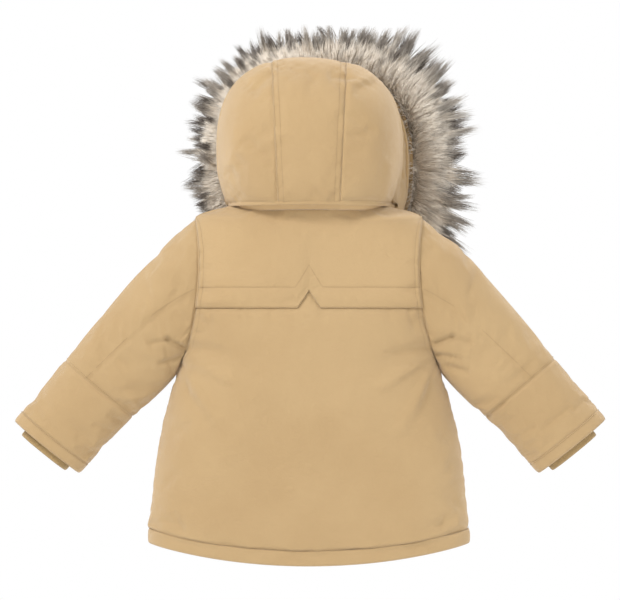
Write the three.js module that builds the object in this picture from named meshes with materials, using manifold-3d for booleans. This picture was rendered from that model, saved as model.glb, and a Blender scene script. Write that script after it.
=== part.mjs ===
// A child's padded winter coat, standing as it does on a hanger, with its sleeves held out and its hood up.
// Millimetres, +Z up, the wearer faces -Y and the wearer's left is +X. The origin is where a hook bears on the
// hanger loop. The body is a stack of superellipse rings, each sleeve is a run of superellipse rings along a
// slanting axis, and the hood is a superellipsoid cut at the neck and at the face.
import * as THREE from "three";
import { mergeVertices } from "three/addons/utils/BufferGeometryUtils.js";
import Module from "manifold-3d";

const wasm = await Module();
wasm.setup();

// ---- Driving dimensions ----
const gap = 0.4; // between pieces that touch

const neckHalfWidth = 62;
const neckLevel = 22; // height of the neck ring at the shoulders
const neckDipBack = 18;
const neckDipFront = 52;
const neckHalfDepth = 50;
const shoulderHalfWidth = 172;
const shoulderLevel = -19;
const armpitHalfWidth = 192;
const armpitLevel = -235;
const armholeBow = 14; // how far the armhole seam curves in
const hemHalfWidth = 240;
const hemLevel = -510; // at the side seams
const tailDrop = 31; // how much lower the back hem hangs in its middle
const frontDrop = 6;
const sideSlope = 0.4189; // how fast the side line leaves the armpit: outwards for each millimetre down
const sideFlare = (sideSlope * (armpitLevel - hemLevel)) / (hemHalfWidth - armpitHalfWidth); // its exponent
const chestHalfDepth = 70;
const hemHalfDepth = 64;
const frontDepthTop = 56; // the front edge is one straight line, from here
const frontDepthHem = 68; // to here
const bodyRoundness = 2.5; // superellipse exponent

const shellWall = 1.5; // outer cloth with its backing
const waddingWall = 4.7;
const liningWall = 1;
const hemBandHeight = 22;

const yokeLevel = -154.5;
const notchHeight = 26;
const notchHalfWidth = 17;
const yokeUnderlap = 40; // how far the back panel runs up beneath the yoke, above the notch
const yokeWall = 1.4;

const sleeveLength = 321; // along the sleeve's axis, armhole to cuff
const sleeveSlope = 48.2; // degrees below level
const cuffHalfWidth = 62;
const cuffHalfDepth = 31;
const armholeHalfDepth = 44;
const cuffTilt = 39; // degrees above level of the line across the cuff
const sleeveRoundness = 2.2;
const sleeveWall = 6;
const cuffBandLength = 19;
const innerCuffSideRoom = 19; // from the cuff's outline to the inner cuff's, at its edges
const innerCuffRoom = 11; // and at its front and back
const innerCuffWall = 2.2;
const innerCuffDepth = 34; // how far it reaches up inside the sleeve
const innerCuffProud = 10; // how far it shows below the sleeve's end

const hoodHalfWidth = 137;
const hoodHalfHeight = 140;
const hoodCentreLevel = 85;
const hoodCentreDepth = -20;
const hoodBackDepth = 108;
const hoodFrontDepth = 220;
const hoodRoundness = 2.6;
const hoodWall = 1.6;
const rimDepth = -105; // the face opening's plane
const hoodLean = -24; // how far the face opening leans to the wearer's right
const crownDrop = 20; // how much lower the crown is at the face opening
const hoodSeamTop = 58; // half the middle panel's width at the crown
const hoodSeamBottom = 45;
const hoodHemLevel = 8;
const hoodThroatLevel = -28;
const hoodFoldLevel = 60; // below this the hood creases when it is pushed back
const faceBandWidth = 22;
const ruffRadius = 31; // half the width of the fur's dense part
const ruffHalfDepth = 25;
const ruffBackingWall = 2;

const collarHeight = 44;
const collarWall = 6;

const facingHalfWidth = 46; // the front edge folds back about this line
const facingGap = 9; // from the middle to the facing's edge
const facingWall = 7.5;
const zipTapeWidth = 12;
const zipTapeWall = 0.8;
const zipBeadWidth = 2.7;
const zipBeadWall = 3;
const zipHalfGap = 0.8;
const zipTravelSpare = 6;
const sliderLength = 15;
const sliderHalfWidth = 5.5;
const sliderPlate = 1.2;
const sliderReach = 2; // from the tape's plane to a plate
const pullLength = 24;
const pullWidth = 7;
const pullWall = 1.6;
const pullPin = 0.7;
const pullHole = 1.1;

const flapHalfWidth = 32;
const flapWall = 4;
const flapBridge = 9.5; // clearance that the flap's middle leaves over the zip
const flapTopDrop = 42; // below the zip's top end
const snapRadius = 7;
const snapPost = 2.2;
const snapCount = 4;
const snapRoom = 7.5; // from the slider's side to a snap's rim
const snapEdge = sliderHalfWidth + snapRoom + snapRadius; // from the middle to the snaps

const pocketLow = 78; // from the middle to the pocket's inner side
const pocketWidth = 96;
const pocketHeight = 125;
const pocketLevel = -345;
const pocketWall = 2.4;
const pocketRoom = 12; // how far the patch stands off the front
const pocketFlapHeight = 55;
const pocketFlapOverhang = 4;
const pocketFlapWall = 3;
const pocketSnapRoom = 2.2; // between a pocket and its flap, where the stud sits

const loopHalfSpan = 26;
const loopStandoff = 10;
const loopWidth = 8;
const loopWall = 1.4;
const loopLevel = 14;

// ---- Colours ----
const cloth = { color: 0xd6b586, roughness: 0.8, metalness: 0 };
const liningCloth = { color: 0xb79a70, roughness: 0.6, metalness: 0 };
const batting = { color: 0xeeeeea, roughness: 1, metalness: 0 };
const fur = { color: 0xcfc0ae, roughness: 0.95, metalness: 0 };
const tape = { color: 0x8f7650, roughness: 0.8, metalness: 0 };
const brass = { color: 0x8c7a55, roughness: 0.35, metalness: 1 };

const coat = new THREE.Group();

function add(name, geometry, look, parent = coat) {
  const mesh = new THREE.Mesh(geometry, new THREE.MeshStandardMaterial(look));
  mesh.name = name;
  parent.add(mesh);
  return mesh;
}

// ---- Shared numbers and small functions ----
const radians = THREE.MathUtils.degToRad;
const lerp = THREE.MathUtils.lerp;
const clamp01 = (x) => Math.min(1, Math.max(0, x));
const ease = (x) => clamp01(x) ** 2 * (3 - 2 * clamp01(x));
const signedPower = (x, p) => Math.sign(x) * Math.abs(x) ** p;
const bowl = (x, n) => Math.max(0, 1 - Math.abs(x) ** n) ** (1 / n); // superellipse height at x

// A closed slab between two grids: point(u, v, side) with u and v from 0 to 1, side 0 outside and 1 inside.
function slab(point, nu, nv, closed = false) {
  const positions = [];
  const index = [];
  const columns = closed ? nu : nu + 1;
  for (let side = 0; side < 2; side += 1)
    for (let j = 0; j <= nv; j += 1)
      for (let i = 0; i < columns; i += 1) positions.push(...point(i / nu, j / nv, side));
  const at = (i, j, side) => side * columns * (nv + 1) + j * columns + (i % columns);
  const quad = (a, b, c, d) => index.push(a, b, c, a, c, d);
  for (let j = 0; j < nv; j += 1)
    for (let i = 0; i < nu; i += 1) {
      quad(at(i, j, 0), at(i + 1, j, 0), at(i + 1, j + 1, 0), at(i, j + 1, 0));
      quad(at(i, j, 1), at(i, j + 1, 1), at(i + 1, j + 1, 1), at(i + 1, j, 1));
    }
  for (let i = 0; i < nu; i += 1) {
    quad(at(i, 0, 0), at(i, 0, 1), at(i + 1, 0, 1), at(i + 1, 0, 0));
    quad(at(i, nv, 0), at(i + 1, nv, 0), at(i + 1, nv, 1), at(i, nv, 1));
  }
  if (!closed)
    for (let j = 0; j < nv; j += 1) {
      quad(at(0, j, 0), at(0, j + 1, 0), at(0, j + 1, 1), at(0, j, 1));
      quad(at(nu, j, 0), at(nu, j, 1), at(nu, j + 1, 1), at(nu, j + 1, 0));
    }
  return facingOut(positions, index);
}

function facingOut(positions, index) {
  const geometry = new THREE.BufferGeometry();
  geometry.setAttribute("position", new THREE.Float32BufferAttribute(positions, 3));
  const corner = index.map((k) => new THREE.Vector3().fromArray(positions, k * 3));
  let volume = 0;
  for (let k = 0; k < index.length; k += 3)
    volume += corner[k].dot(new THREE.Vector3().crossVectors(corner[k + 1], corner[k + 2]));
  if (volume < 0)
    for (let k = 0; k < index.length; k += 3) [index[k], index[k + 1]] = [index[k + 1], index[k]];
  geometry.setIndex(index);
  return geometry;
}

function solid(geometry) {
  const bare = geometry.clone();
  bare.deleteAttribute("normal");
  bare.deleteAttribute("uv");
  const merged = mergeVertices(bare, 1e-4);
  return new wasm.Manifold(
    new wasm.Mesh({
      numProp: 3,
      vertProperties: merged.attributes.position.array,
      triVerts: new Uint32Array(merged.index.array),
    }),
  );
}

function geometryOf(manifold) {
  const mesh = manifold.getMesh();
  const geometry = new THREE.BufferGeometry();
  geometry.setAttribute("position", new THREE.BufferAttribute(new Float32Array(mesh.vertProperties), 3));
  geometry.setIndex(new THREE.BufferAttribute(new Uint32Array(mesh.triVerts), 1));
  return geometry;
}

const join = (...geometries) => geometryOf(geometries.map(solid).reduce((a, b) => a.add(b)));
const cut = (from, ...tools) => geometryOf(tools.map(solid).reduce((a, b) => a.subtract(b), solid(from)));

function box(x0, x1, y0, y1, z0, z1) {
  return new THREE.BoxGeometry(x1 - x0, y1 - y0, z1 - z0).translate((x0 + x1) / 2, (y0 + y1) / 2, (z0 + z1) / 2);
}

// A disc or post whose axis runs along Y, from y0 to y1.
function disc(radius, y0, y1, sides = 10) {
  return new THREE.CylinderGeometry(radius, radius, y1 - y0, sides).translate(0, (y0 + y1) / 2, 0);
}

// ---- The body: rings from the neck to the hem ----
const panelTop = yokeLevel + notchHeight + yokeUnderlap;
const armholeMid = (shoulderLevel + armpitLevel) / 2;
const armholeHalf = (shoulderLevel - armpitLevel) / 2;
const armholeAcross = (level) => (level - armholeMid) / armholeHalf;

function armholeX(level) {
  const across = armholeAcross(level);
  const straight = lerp(armpitHalfWidth, shoulderHalfWidth, (across + 1) / 2);
  return straight - armholeBow * (1 - across * across);
}

function halfDepth(level, back) {
  const down = clamp01((neckLevel - level) / (neckLevel - hemLevel));
  if (!back) return lerp(frontDepthTop, frontDepthHem, down);
  const chest = lerp(neckHalfDepth, chestHalfDepth, ease(down * 2.6));
  return lerp(chest, hemHalfDepth, ease(down * 2 - 1));
}

// Half the ring's width. Beside an armhole the ring is wide enough that its cut edge meets the sleeve's edge.
function halfWidth(level, back) {
  if (level >= shoulderLevel) {
    const up = (level - shoulderLevel) / (neckLevel - shoulderLevel);
    return lerp(shoulderHalfWidth, neckHalfWidth, up);
  }
  if (level > armpitLevel) {
    const edge = armholeHalfDepth * bowl(armholeAcross(level), sleeveRoundness);
    return armholeX(level) / bowl(edge / halfDepth(level, back), bodyRoundness);
  }
  const down = clamp01((armpitLevel - level) / (armpitLevel - hemLevel));
  return hemHalfWidth - (hemHalfWidth - armpitHalfWidth) * (1 - down) ** sideFlare;
}

function heightOf(level, share, back) {
  const middle = 1 - share * share;
  const neck = ease((level + 60) / (neckLevel + 60)) * (back ? neckDipBack : neckDipFront);
  const hem = ease((-300 - level) / (-300 - hemLevel)) * (back ? tailDrop : frontDrop);
  return level - middle * (neck + hem);
}

// Turn is the angle from the middle of the back or front towards a side, from -90 to 90 degrees.
function bodyPoint(turn, level, depth, back) {
  const across = signedPower(Math.sin(turn), 2 / bodyRoundness);
  const out = Math.abs(Math.cos(turn)) ** (2 / bodyRoundness);
  const x = across * (halfWidth(level, back) - depth);
  const y = out * (halfDepth(level, back) - depth);
  return [x, back ? y : -y, heightOf(level, across, back)];
}

const turnAt = (x, level, depth, back) =>
  Math.asin(Math.min(1, (Math.abs(x) / (halfWidth(level, back) - depth)) ** (bodyRoundness / 2)));

// The turn where a panel ends on its outer side: at the armhole, or at the side seam.
function outerTurn(level, depth, back, clearance) {
  if (level > armpitLevel && level < shoulderLevel) return turnAt(armholeX(level) - clearance, level, depth, back);
  return Math.PI / 2;
}

// Where the rows of a panel lie. They crowd at the shoulder and the armpit, where the outline turns.
function levels(top, bottom) {
  const marks = [top, shoulderLevel, -54, panelTop, -125, -165, -205, armpitLevel - gap, -270, -340, -420, bottom];
  return marks.filter((level, k) => k === 0 || k === marks.length - 1 || (level < top - 4 && level > bottom + 4));
}

const armholeStep = 0.2; // each inner layer stops shorter of the armhole, by this share of its depth
const sideGap = 0.35; // a panel stops this many millimetres short of the side seam
const backColumns = 12;
const frontColumns = 5;

function bodyPanel(top, bottom, depthOut, depthIn, back, innerX, columns, seam = sideGap) {
  const rows = levels(top, bottom);
  return (mirror) =>
    slab(
      (u, v, side) => {
        const level = rows[Math.round(v * (rows.length - 1))];
        const depth = side ? depthIn : depthOut;
        const end = outerTurn(level, depth, back, 3 * gap + depthOut * armholeStep);
        const stop = end === Math.PI / 2 ? end - seamTurn(level, depth, back, seam) : end;
        const start = innerX === null ? -stop : turnAt(innerX, level, depth, back);
        const [x, y, z] = bodyPoint(lerp(start, stop, u), level, depth, back);
        return [mirror * x, Math.abs(y) < 1e-6 ? 0 : y, z];
      },
      columns,
      rows.length - 1,
    );
}

// The turn that keeps a panel's edge clear of the plane of the side seam.
function seamTurn(level, depth, back, seam) {
  return Math.asin((seam / (halfDepth(level, back) - depth)) ** (bodyRoundness / 2));
}

const shellIn = shellWall;
const waddingOut = shellIn + 2 * gap;
const waddingIn = waddingOut + waddingWall;
const liningOut = waddingIn + 2 * gap;
const liningIn = liningOut + liningWall;
const bandLevel = hemLevel + hemBandHeight;

const notch = new THREE.ExtrudeGeometry(
  new THREE.Shape([
    new THREE.Vector2(-notchHalfWidth, yokeLevel - 1),
    new THREE.Vector2(notchHalfWidth, yokeLevel - 1),
    new THREE.Vector2(0, yokeLevel + notchHeight),
  ]),
  { depth: 2 * chestHalfDepth, bevelEnabled: false },
)
  .rotateX(Math.PI / 2)
  .translate(0, 2 * chestHalfDepth, 0);

const yokeIn = -2 * gap;
const yokeOut = yokeIn - yokeWall;
add("back_yoke", cut(bodyPanel(neckLevel, yokeLevel, yokeOut, yokeIn, true, null, backColumns)(1), notch), cloth);
add("back_panel", bodyPanel(panelTop, bandLevel + gap, 0, shellIn, true, null, backColumns)(1), cloth);
for (const [side, mirror] of [
  ["left", 1],
  ["right", -1],
]) {
  const front = bodyPanel(neckLevel, bandLevel + gap, 0, shellIn, false, facingHalfWidth + gap, frontColumns);
  add(`${side}_front_panel`, front(mirror), cloth);
}

// One layer that runs from the left front edge round the back to the right front edge.
function wrapLayer(top, bottom, depthOut, depthIn) {
  const back = bodyPanel(top, bottom, depthOut, depthIn, true, null, backColumns, 0)(1);
  const front = bodyPanel(top, bottom, depthOut, depthIn, false, facingHalfWidth + gap, frontColumns, 0);
  return join(back, front(1), front(-1));
}

add("body_wadding", wrapLayer(neckLevel, bandLevel + gap, waddingOut, waddingIn), batting);
add("body_lining", wrapLayer(neckLevel, bandLevel + gap, liningOut, liningIn), liningCloth);
add("hem_band", wrapLayer(bandLevel, hemLevel, -0.8, liningIn), cloth);

// ---- The collar and what is sewn in the neck ----
add(
  "collar",
  slab(
    (u, v, side) => {
      const depth = side ? collarWall : 0;
      const open = turnAt(3, neckLevel, 0, false);
      const around = lerp(-Math.PI + open, Math.PI - open, u); // 0 is the middle of the back
      const across = signedPower(Math.sin(around), 2 / bodyRoundness);
      const out = signedPower(Math.cos(around), 2 / bodyRoundness);
      const back = out > 0;
      const y = out * (halfDepth(neckLevel, back) - depth);
      const dip = (1 - across * across) * lerp(neckDipFront, neckDipBack, back ? 1 : 0);
      return [across * (neckHalfWidth - depth), y, neckLevel + 3 * gap - dip + v * collarHeight];
    },
    24,
    1,
  ),
  cloth,
);

const collarFace = neckHalfDepth - collarWall - gap;
const collarCurve = bowl(loopHalfSpan / (neckHalfWidth - collarWall), bodyRoundness);
const loopEnd = (neckHalfDepth - collarWall) * collarCurve - gap - loopWall;
const loopPath = new THREE.CatmullRomCurve3([
  new THREE.Vector3(-loopHalfSpan, loopEnd, loopLevel),
  new THREE.Vector3(-loopHalfSpan * 0.55, collarFace - loopStandoff * 0.75, loopLevel),
  new THREE.Vector3(0, collarFace - loopStandoff, loopLevel),
  new THREE.Vector3(loopHalfSpan * 0.55, collarFace - loopStandoff * 0.75, loopLevel),
  new THREE.Vector3(loopHalfSpan, loopEnd, loopLevel),
]);
const loopSection = new THREE.Shape([
  new THREE.Vector2(-loopWidth / 2, -loopWall / 2),
  new THREE.Vector2(loopWidth / 2, -loopWall / 2),
  new THREE.Vector2(loopWidth / 2, loopWall / 2),
  new THREE.Vector2(-loopWidth / 2, loopWall / 2),
]);
add("hanger_loop", new THREE.ExtrudeGeometry(loopSection, { steps: 12, extrudePath: loopPath }), tape);

const labelTop = -6;
const labelBack = neckHalfDepth - liningIn - gap;
add("neck_label", box(-15, 15, labelBack - 1, labelBack, labelTop - 20, labelTop), batting);

// ---- The sleeves: rings along a slanting axis ----
const sleeveStart = new THREE.Vector2((shoulderHalfWidth + armpitHalfWidth) / 2, armholeMid);
const sleeveAxis = new THREE.Vector2(Math.cos(radians(sleeveSlope)), -Math.sin(radians(sleeveSlope)));
const armholeTilt = 90 + THREE.MathUtils.radToDeg(Math.atan2(armpitHalfWidth - shoulderHalfWidth, 2 * armholeHalf));
const armholeSpan = Math.hypot(armholeHalf, (armpitHalfWidth - shoulderHalfWidth) / 2);
const tiltRun = 0.64; // share of the sleeve over which its rings turn square to it

function sleevePoint(turn, share, depth, mirror, inset = null) {
  const straight = Math.max(0, 1 - share / tiltRun);
  const tilt = radians(lerp(cuffTilt, armholeTilt, straight));
  const half = inset ? inset.width : lerp(cuffHalfWidth, armholeSpan, Math.max(0, 1 - share) ** 3);
  const thick = inset ? inset.depth : lerp(armholeHalfDepth, cuffHalfDepth, Math.min(share, 1));
  const across = signedPower(Math.cos(turn), 2 / sleeveRoundness);
  const out = signedPower(Math.sin(turn), 2 / sleeveRoundness);
  const reach = (half - depth) * across;
  const bow = armholeBow * (1 - across * across) * Math.max(0, 1 - share / 0.2);
  const along = sleeveLength * share;
  const x = sleeveStart.x + sleeveAxis.x * along + Math.cos(tilt) * reach - bow;
  const z = sleeveStart.y + sleeveAxis.y * along + Math.sin(tilt) * reach;
  return [mirror * x, out * (thick - depth), z];
}

function sleeveTube(start, end, depthOut, depthIn, mirror, rows, inset = null, columns = 16) {
  return slab(
    (u, v, side) => {
      const turn = u * 2 * Math.PI;
      const under = (1 - Math.cos(turn)) / 2; // 0 at the outer edge, 1 at the underarm
      const from = typeof start === "function" ? start(under) : start;
      const to = typeof end === "function" ? end(under) : end;
      return sleevePoint(turn, lerp(from, to, v), side ? depthIn : depthOut, mirror, inset);
    },
    columns,
    rows,
    true,
  );
}

const step = gap / sleeveLength; // a gap, as a share of the sleeve's length
const headEnd = (under) => lerp(0.24, 0.5, under); // the head reaches further down the underarm
const elbowStart = 0.555;
const elbowEnd = 0.7;
const bandStart = 1 - cuffBandLength / sleeveLength;
const sleeveLiningOut = sleeveWall + gap;
const sleeveLiningIn = sleeveLiningOut + liningWall;
for (const [side, mirror] of [
  ["left", 1],
  ["right", -1],
]) {
  add(`${side}_sleeve_head`, sleeveTube(0.012, headEnd, 0, sleeveWall, mirror, 4), cloth);
  const upperStart = (under) => headEnd(under) + 2 * step;
  add(`${side}_upper_sleeve`, sleeveTube(upperStart, elbowStart, 0, sleeveWall, mirror, 3), cloth);
  add(`${side}_upper_lining`, sleeveTube(upperStart, elbowStart, sleeveLiningOut, sleeveLiningIn, mirror, 3), liningCloth);
  add(`${side}_elbow`, sleeveTube(elbowStart + 2 * step, elbowEnd - 2 * step, 0, sleeveWall, mirror, 2), cloth);
  add(`${side}_forearm`, sleeveTube(elbowEnd, bandStart - step, 0, sleeveWall, mirror, 3), cloth);
  add(`${side}_forearm_lining`, sleeveTube(elbowEnd, 1 - step, sleeveLiningOut, sleeveLiningIn, mirror, 3), liningCloth);
  add(`${side}_cuff_band`, sleeveTube(bandStart, 1, -0.6, sleeveWall, mirror, 1), cloth);
  const inner = { width: cuffHalfWidth - innerCuffSideRoom, depth: cuffHalfDepth - innerCuffRoom };
  const innerStart = 1 - innerCuffDepth / sleeveLength;
  const innerEnd = 1 + innerCuffProud / sleeveLength;
  add(`${side}_inner_cuff`, sleeveTube(innerStart, innerEnd, 0, innerCuffWall, mirror, 2, inner), cloth);
}

// ---- The hood: a superellipsoid, leaning and sloping towards its face opening ----
function hoodBall(depth, columns = 24, rows = 16) {
  const ball = new THREE.SphereGeometry(1, columns, rows);
  ball.deleteAttribute("uv");
  ball.deleteAttribute("normal");
  const place = ball.attributes.position;
  for (let k = 0; k < place.count; k += 1) {
    const direction = new THREE.Vector3().fromBufferAttribute(place, k);
    const norm = ["x", "y", "z"].reduce((sum, c) => sum + Math.abs(direction[c]) ** hoodRoundness, 0);
    const grow = norm ** (-1 / hoodRoundness);
    const deep = direction.y > 0 ? hoodBackDepth : hoodFrontDepth;
    const y = hoodCentreDepth + direction.y * grow * (deep - depth);
    const forward = Math.max(0, (hoodCentreDepth - y) / (hoodCentreDepth - rimDepth));
    const x = direction.x * grow * (hoodHalfWidth - depth) + hoodLean * forward;
    const z = hoodCentreLevel + direction.z * grow * (hoodHalfHeight - depth) - crownDrop * forward;
    place.setXYZ(k, x, y, z);
  }
  return mergeVertices(ball, 1e-4);
}

// What is cut away below the hood's lower edge, seen from the side: level at the back, dropping to the throat.
const reachX = 2 * hoodHalfWidth;
const neckCut = new THREE.ExtrudeGeometry(
  new THREE.Shape([
    new THREE.Vector2(-400, -400),
    new THREE.Vector2(400, -400),
    new THREE.Vector2(400, hoodHemLevel),
    new THREE.Vector2(-(frontDepthTop - 6), hoodHemLevel),
    new THREE.Vector2(rimDepth + 4, hoodThroatLevel),
    new THREE.Vector2(-400, hoodThroatLevel),
  ]),
  { depth: 2 * reachX, bevelEnabled: false },
)
  .applyMatrix4(new THREE.Matrix4().set(0, 0, 1, 0, 1, 0, 0, 0, 0, 1, 0, 0, 0, 0, 0, 1))
  .translate(-reachX, 0, 0);

function hoodLayer(depthOut, depthIn, front, ...cuts) {
  const faceCut = box(-reachX, reachX, -400, front, -400, 400);
  return cut(hoodBall(depthOut), hoodBall(depthIn), faceCut, ...cuts);
}

// A slanting slice between the hood's two long seams, as a shape seen from behind.
function middlePanel(spread) {
  const top = hoodCentreLevel + hoodHalfHeight + 10;
  const bottom = hoodThroatLevel - 10;
  const shape = new THREE.Shape([
    new THREE.Vector2(-hoodSeamBottom - spread, bottom),
    new THREE.Vector2(hoodSeamBottom + spread, bottom),
    new THREE.Vector2(hoodSeamTop + spread, top),
    new THREE.Vector2(-hoodSeamTop - spread, top),
  ]);
  const slice = new THREE.ExtrudeGeometry(shape, { depth: 400, bevelEnabled: false });
  return slice.rotateX(Math.PI / 2).translate(0, 200, 0);
}

const bandBack = rimDepth + faceBandWidth;
const belowFold = box(-reachX, reachX, -400, 400, -400, hoodFoldLevel + gap);
const hoodShell = hoodLayer(0, hoodWall, bandBack + gap, belowFold);
add("hood_middle_panel", geometryOf(solid(hoodShell).intersect(solid(middlePanel(-gap / 2)))), cloth);
for (const [side, from, to] of [
  ["left", 0, reachX],
  ["right", -reachX, 0],
]) {
  const half = box(from, to, -400, 400, -400, 400);
  add(`hood_${side}_panel`, geometryOf(solid(cut(hoodShell, middlePanel(gap / 2))).intersect(solid(half))), cloth);
}
const hoodWaddingOut = hoodWall + gap;
const hoodWaddingIn = hoodWaddingOut + waddingWall;
const hoodLiningOut = hoodWaddingIn + gap;
const hoodLiningIn = hoodLiningOut + liningWall;
add("hood_wadding", hoodLayer(hoodWaddingOut, hoodWaddingIn, bandBack + gap, belowFold), batting);
add("hood_lining", hoodLayer(hoodLiningOut, hoodLiningIn, bandBack + gap, belowFold), liningCloth);
const aboveFold = box(-reachX, reachX, -400, 400, hoodFoldLevel, 400);
add("hood_base", hoodLayer(0, hoodLiningIn, bandBack + gap, neckCut, aboveFold), cloth);
const behindBand = box(-reachX, reachX, bandBack, 400, -400, 400);
add("hood_face_band", hoodLayer(0, hoodLiningIn, rimDepth, neckCut, behindBand), cloth);

// The fur ruff follows the hood's edge, outside and in front of it.
const rimShare = Math.abs((rimDepth - hoodCentreDepth) / hoodFrontDepth);
const rimScale = bowl(rimShare, hoodRoundness);
const rimHalfWidth = hoodHalfWidth * rimScale;
const rimHalfHeight = hoodHalfHeight * rimScale;
const rimLevel = hoodCentreLevel - crownDrop;
const rimLow = Math.asin(((rimLevel - hoodThroatLevel) / rimHalfHeight) ** (hoodRoundness / 2));

// A point of the rim's arch, from the wearer's left throat (0) over the crown to the right throat (1), grown outwards.
function rimPoint(share, grow) {
  const turn = lerp(-rimLow, Math.PI + rimLow, share);
  const x = (rimHalfWidth + grow) * signedPower(Math.cos(turn), 2 / hoodRoundness);
  const z = (rimHalfHeight + grow) * signedPower(Math.sin(turn), 2 / hoodRoundness);
  return [x + hoodLean, rimLevel + z];
}

const backingFront = rimDepth - gap - ruffBackingWall;
add(
  "ruff_backing",
  slab(
    (u, v, side) => {
      const [x, z] = rimPoint(lerp(0.02, 0.98, u), lerp(-hoodLiningIn, ruffRadius * 0.6, v));
      return [x, side ? backingFront : rimDepth - gap, z];
    },
    20,
    1,
  ),
  tape,
);

const furBack = backingFront - gap;
add(
  "ruff_fur",
  (() => {
    const rings = 22;
    const sides = 8;
    const middle = ruffRadius - hoodLiningIn;
    const positions = [];
    const index = [];
    for (let i = 0; i <= rings; i += 1)
      for (let k = 0; k < sides; k += 1) {
        const around = (k / sides) * 2 * Math.PI;
        const share = lerp(0.02, 0.98, i / rings);
        const [x, z] = rimPoint(share, middle + Math.cos(around) * ruffRadius);
        positions.push(x, furBack - ruffHalfDepth + Math.sin(around) * ruffHalfDepth, z);
      }
    for (let i = 0; i < rings; i += 1)
      for (let k = 0; k < sides; k += 1) {
        const next = (k + 1) % sides;
        const [a, b, c, d] = [i * sides + k, i * sides + next, (i + 1) * sides + next, (i + 1) * sides + k];
        index.push(a, b, c, a, c, d);
      }
    const last = rings * sides;
    for (let k = 1; k < sides - 1; k += 1) {
      index.push(0, k + 1, k);
      index.push(last, last + k, last + k + 1);
    }
    return facingOut(positions, index);
  })(),
  fur,
);

// ---- The front edge: everything here lies in one plane, slightly leaning ----
const frontSlope = Math.atan2(frontDepthHem - frontDepthTop, neckLevel - hemLevel);
const frontTop = neckLevel - neckDipFront - gap; // where the zip ends, below the collar
const frontBottom = hemLevel - frontDrop;
const front = new THREE.Group();
front.position.set(0, -frontDepthTop - Math.tan(frontSlope) * (neckLevel - frontTop), frontTop);
front.rotation.x = -frontSlope;
coat.add(front);
const zipLength = (frontTop - frontBottom) / Math.cos(frontSlope);

const tapeFront = -0.3 - zipTapeWall - gap;
for (const [side, mirror] of [
  ["left", 1],
  ["right", -1],
]) {
  const span = (x0, x1, y0, y1, z0, z1) =>
    mirror > 0 ? box(x0, x1, y0, y1, z0, z1) : box(-x1, -x0, y0, y1, z0, z1);
  add(`${side}_facing`, span(facingGap, facingHalfWidth - gap, -0.3, facingWall, -zipLength, 0), cloth, front);
  const bead = new THREE.CylinderGeometry(zipBeadWall / 2, zipBeadWall / 2, zipLength, 10).rotateX(Math.PI / 2);
  bead.scale(zipBeadWidth / zipBeadWall, 1, 1);
  bead.translate(mirror * (zipHalfGap + zipBeadWidth / 2), tapeFront + zipTapeWall / 2, -zipLength / 2);
  const strip = span(zipHalfGap + zipBeadWidth / 2, zipTapeWidth, tapeFront, tapeFront + zipTapeWall, -zipLength, 0);
  add(`${side}_zip_tape`, join(bead, strip), tape, front);
}

const tapeMid = tapeFront + zipTapeWall / 2;
const sliderMid = -zipTravelSpare - sliderLength / 2;
const frontPlate = tapeMid - sliderReach;
const backPlate = tapeMid + sliderReach;
const lugReach = 3.4;
const lugTop = sliderMid + 4;
const lugHalf = 1.2;
const pinY = frontPlate - sliderPlate - lugReach / 2;
const pinZ = lugTop - 2.2;
const pinHole = new THREE.CylinderGeometry(pullHole, pullHole, 8, 12).rotateZ(Math.PI / 2).translate(0, pinY, pinZ);
const sliderLow = sliderMid - sliderLength / 2;
const sliderHigh = sliderMid + sliderLength / 2;
add(
  "zip_slider",
  cut(
    join(
      box(-sliderHalfWidth, sliderHalfWidth, frontPlate - sliderPlate, frontPlate, sliderLow, sliderHigh),
      // The back plate covers the left tape alone, so that the right tape can swing clear.
      box(-zipHalfGap + gap, sliderHalfWidth, backPlate, backPlate + sliderPlate, sliderLow, sliderHigh),
      box(-zipHalfGap + gap, zipHalfGap - gap, frontPlate - 0.2, backPlate + 0.2, sliderMid + 2, sliderHigh),
      box(-lugHalf, lugHalf, frontPlate - sliderPlate - lugReach, frontPlate - 0.5, pinZ - 2.2, lugTop),
    ),
    pinHole,
  ),
  brass,
  front,
);

const earHalf = pullWidth / 2;
const pullPinBar = new THREE.CylinderGeometry(pullPin, pullPin, pullWidth - 0.4, 10)
  .rotateZ(Math.PI / 2)
  .translate(0, pinY, pinZ);
const ears = [1, -1].map((side) => {
  const [low, high] = side > 0 ? [lugHalf + gap, earHalf] : [-earHalf, -lugHalf - gap];
  return box(low, high, pinY - pullWall / 2, pinY + pullWall / 2, pinZ - 6, pinZ + 1.2);
});
const pullPlate = box(-earHalf, earHalf, pinY - pullWall / 2, pinY + pullWall / 2, pinZ - pullLength, pinZ - 4);
add("zip_pull", join(pullPlate, ...ears, pullPinBar), brass, front);

// The storm flap: sewn to the left facing, bridging the zip, and lying on the right facing.
const flapTop = -flapTopDrop;
const flapBottom = -zipLength + 4;
const flapBase = -0.3 - gap;
const restFace = flapBase - 2.6;
const flapOutline = [
  [flapHalfWidth, flapBase],
  [flapHalfWidth, flapBase - flapWall],
  [flapHalfWidth - 8, flapBase - flapWall - 1],
  [sliderHalfWidth + 8, -flapBridge - flapWall],
  [-sliderHalfWidth - 1, -flapBridge - flapWall],
  [-sliderHalfWidth - 8, restFace - flapWall],
  [-flapHalfWidth, restFace - flapWall],
  [-flapHalfWidth, restFace],
  [-sliderHalfWidth - 6, restFace],
  [-sliderHalfWidth - 2, -flapBridge],
  [sliderHalfWidth + 4, -flapBridge],
  [flapHalfWidth - 10, flapBase],
];
const flapShape = new THREE.Shape(flapOutline.map(([x, y]) => new THREE.Vector2(x, y)));
const flapSlab = new THREE.ExtrudeGeometry(flapShape, { depth: flapTop - flapBottom, bevelEnabled: false });
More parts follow.
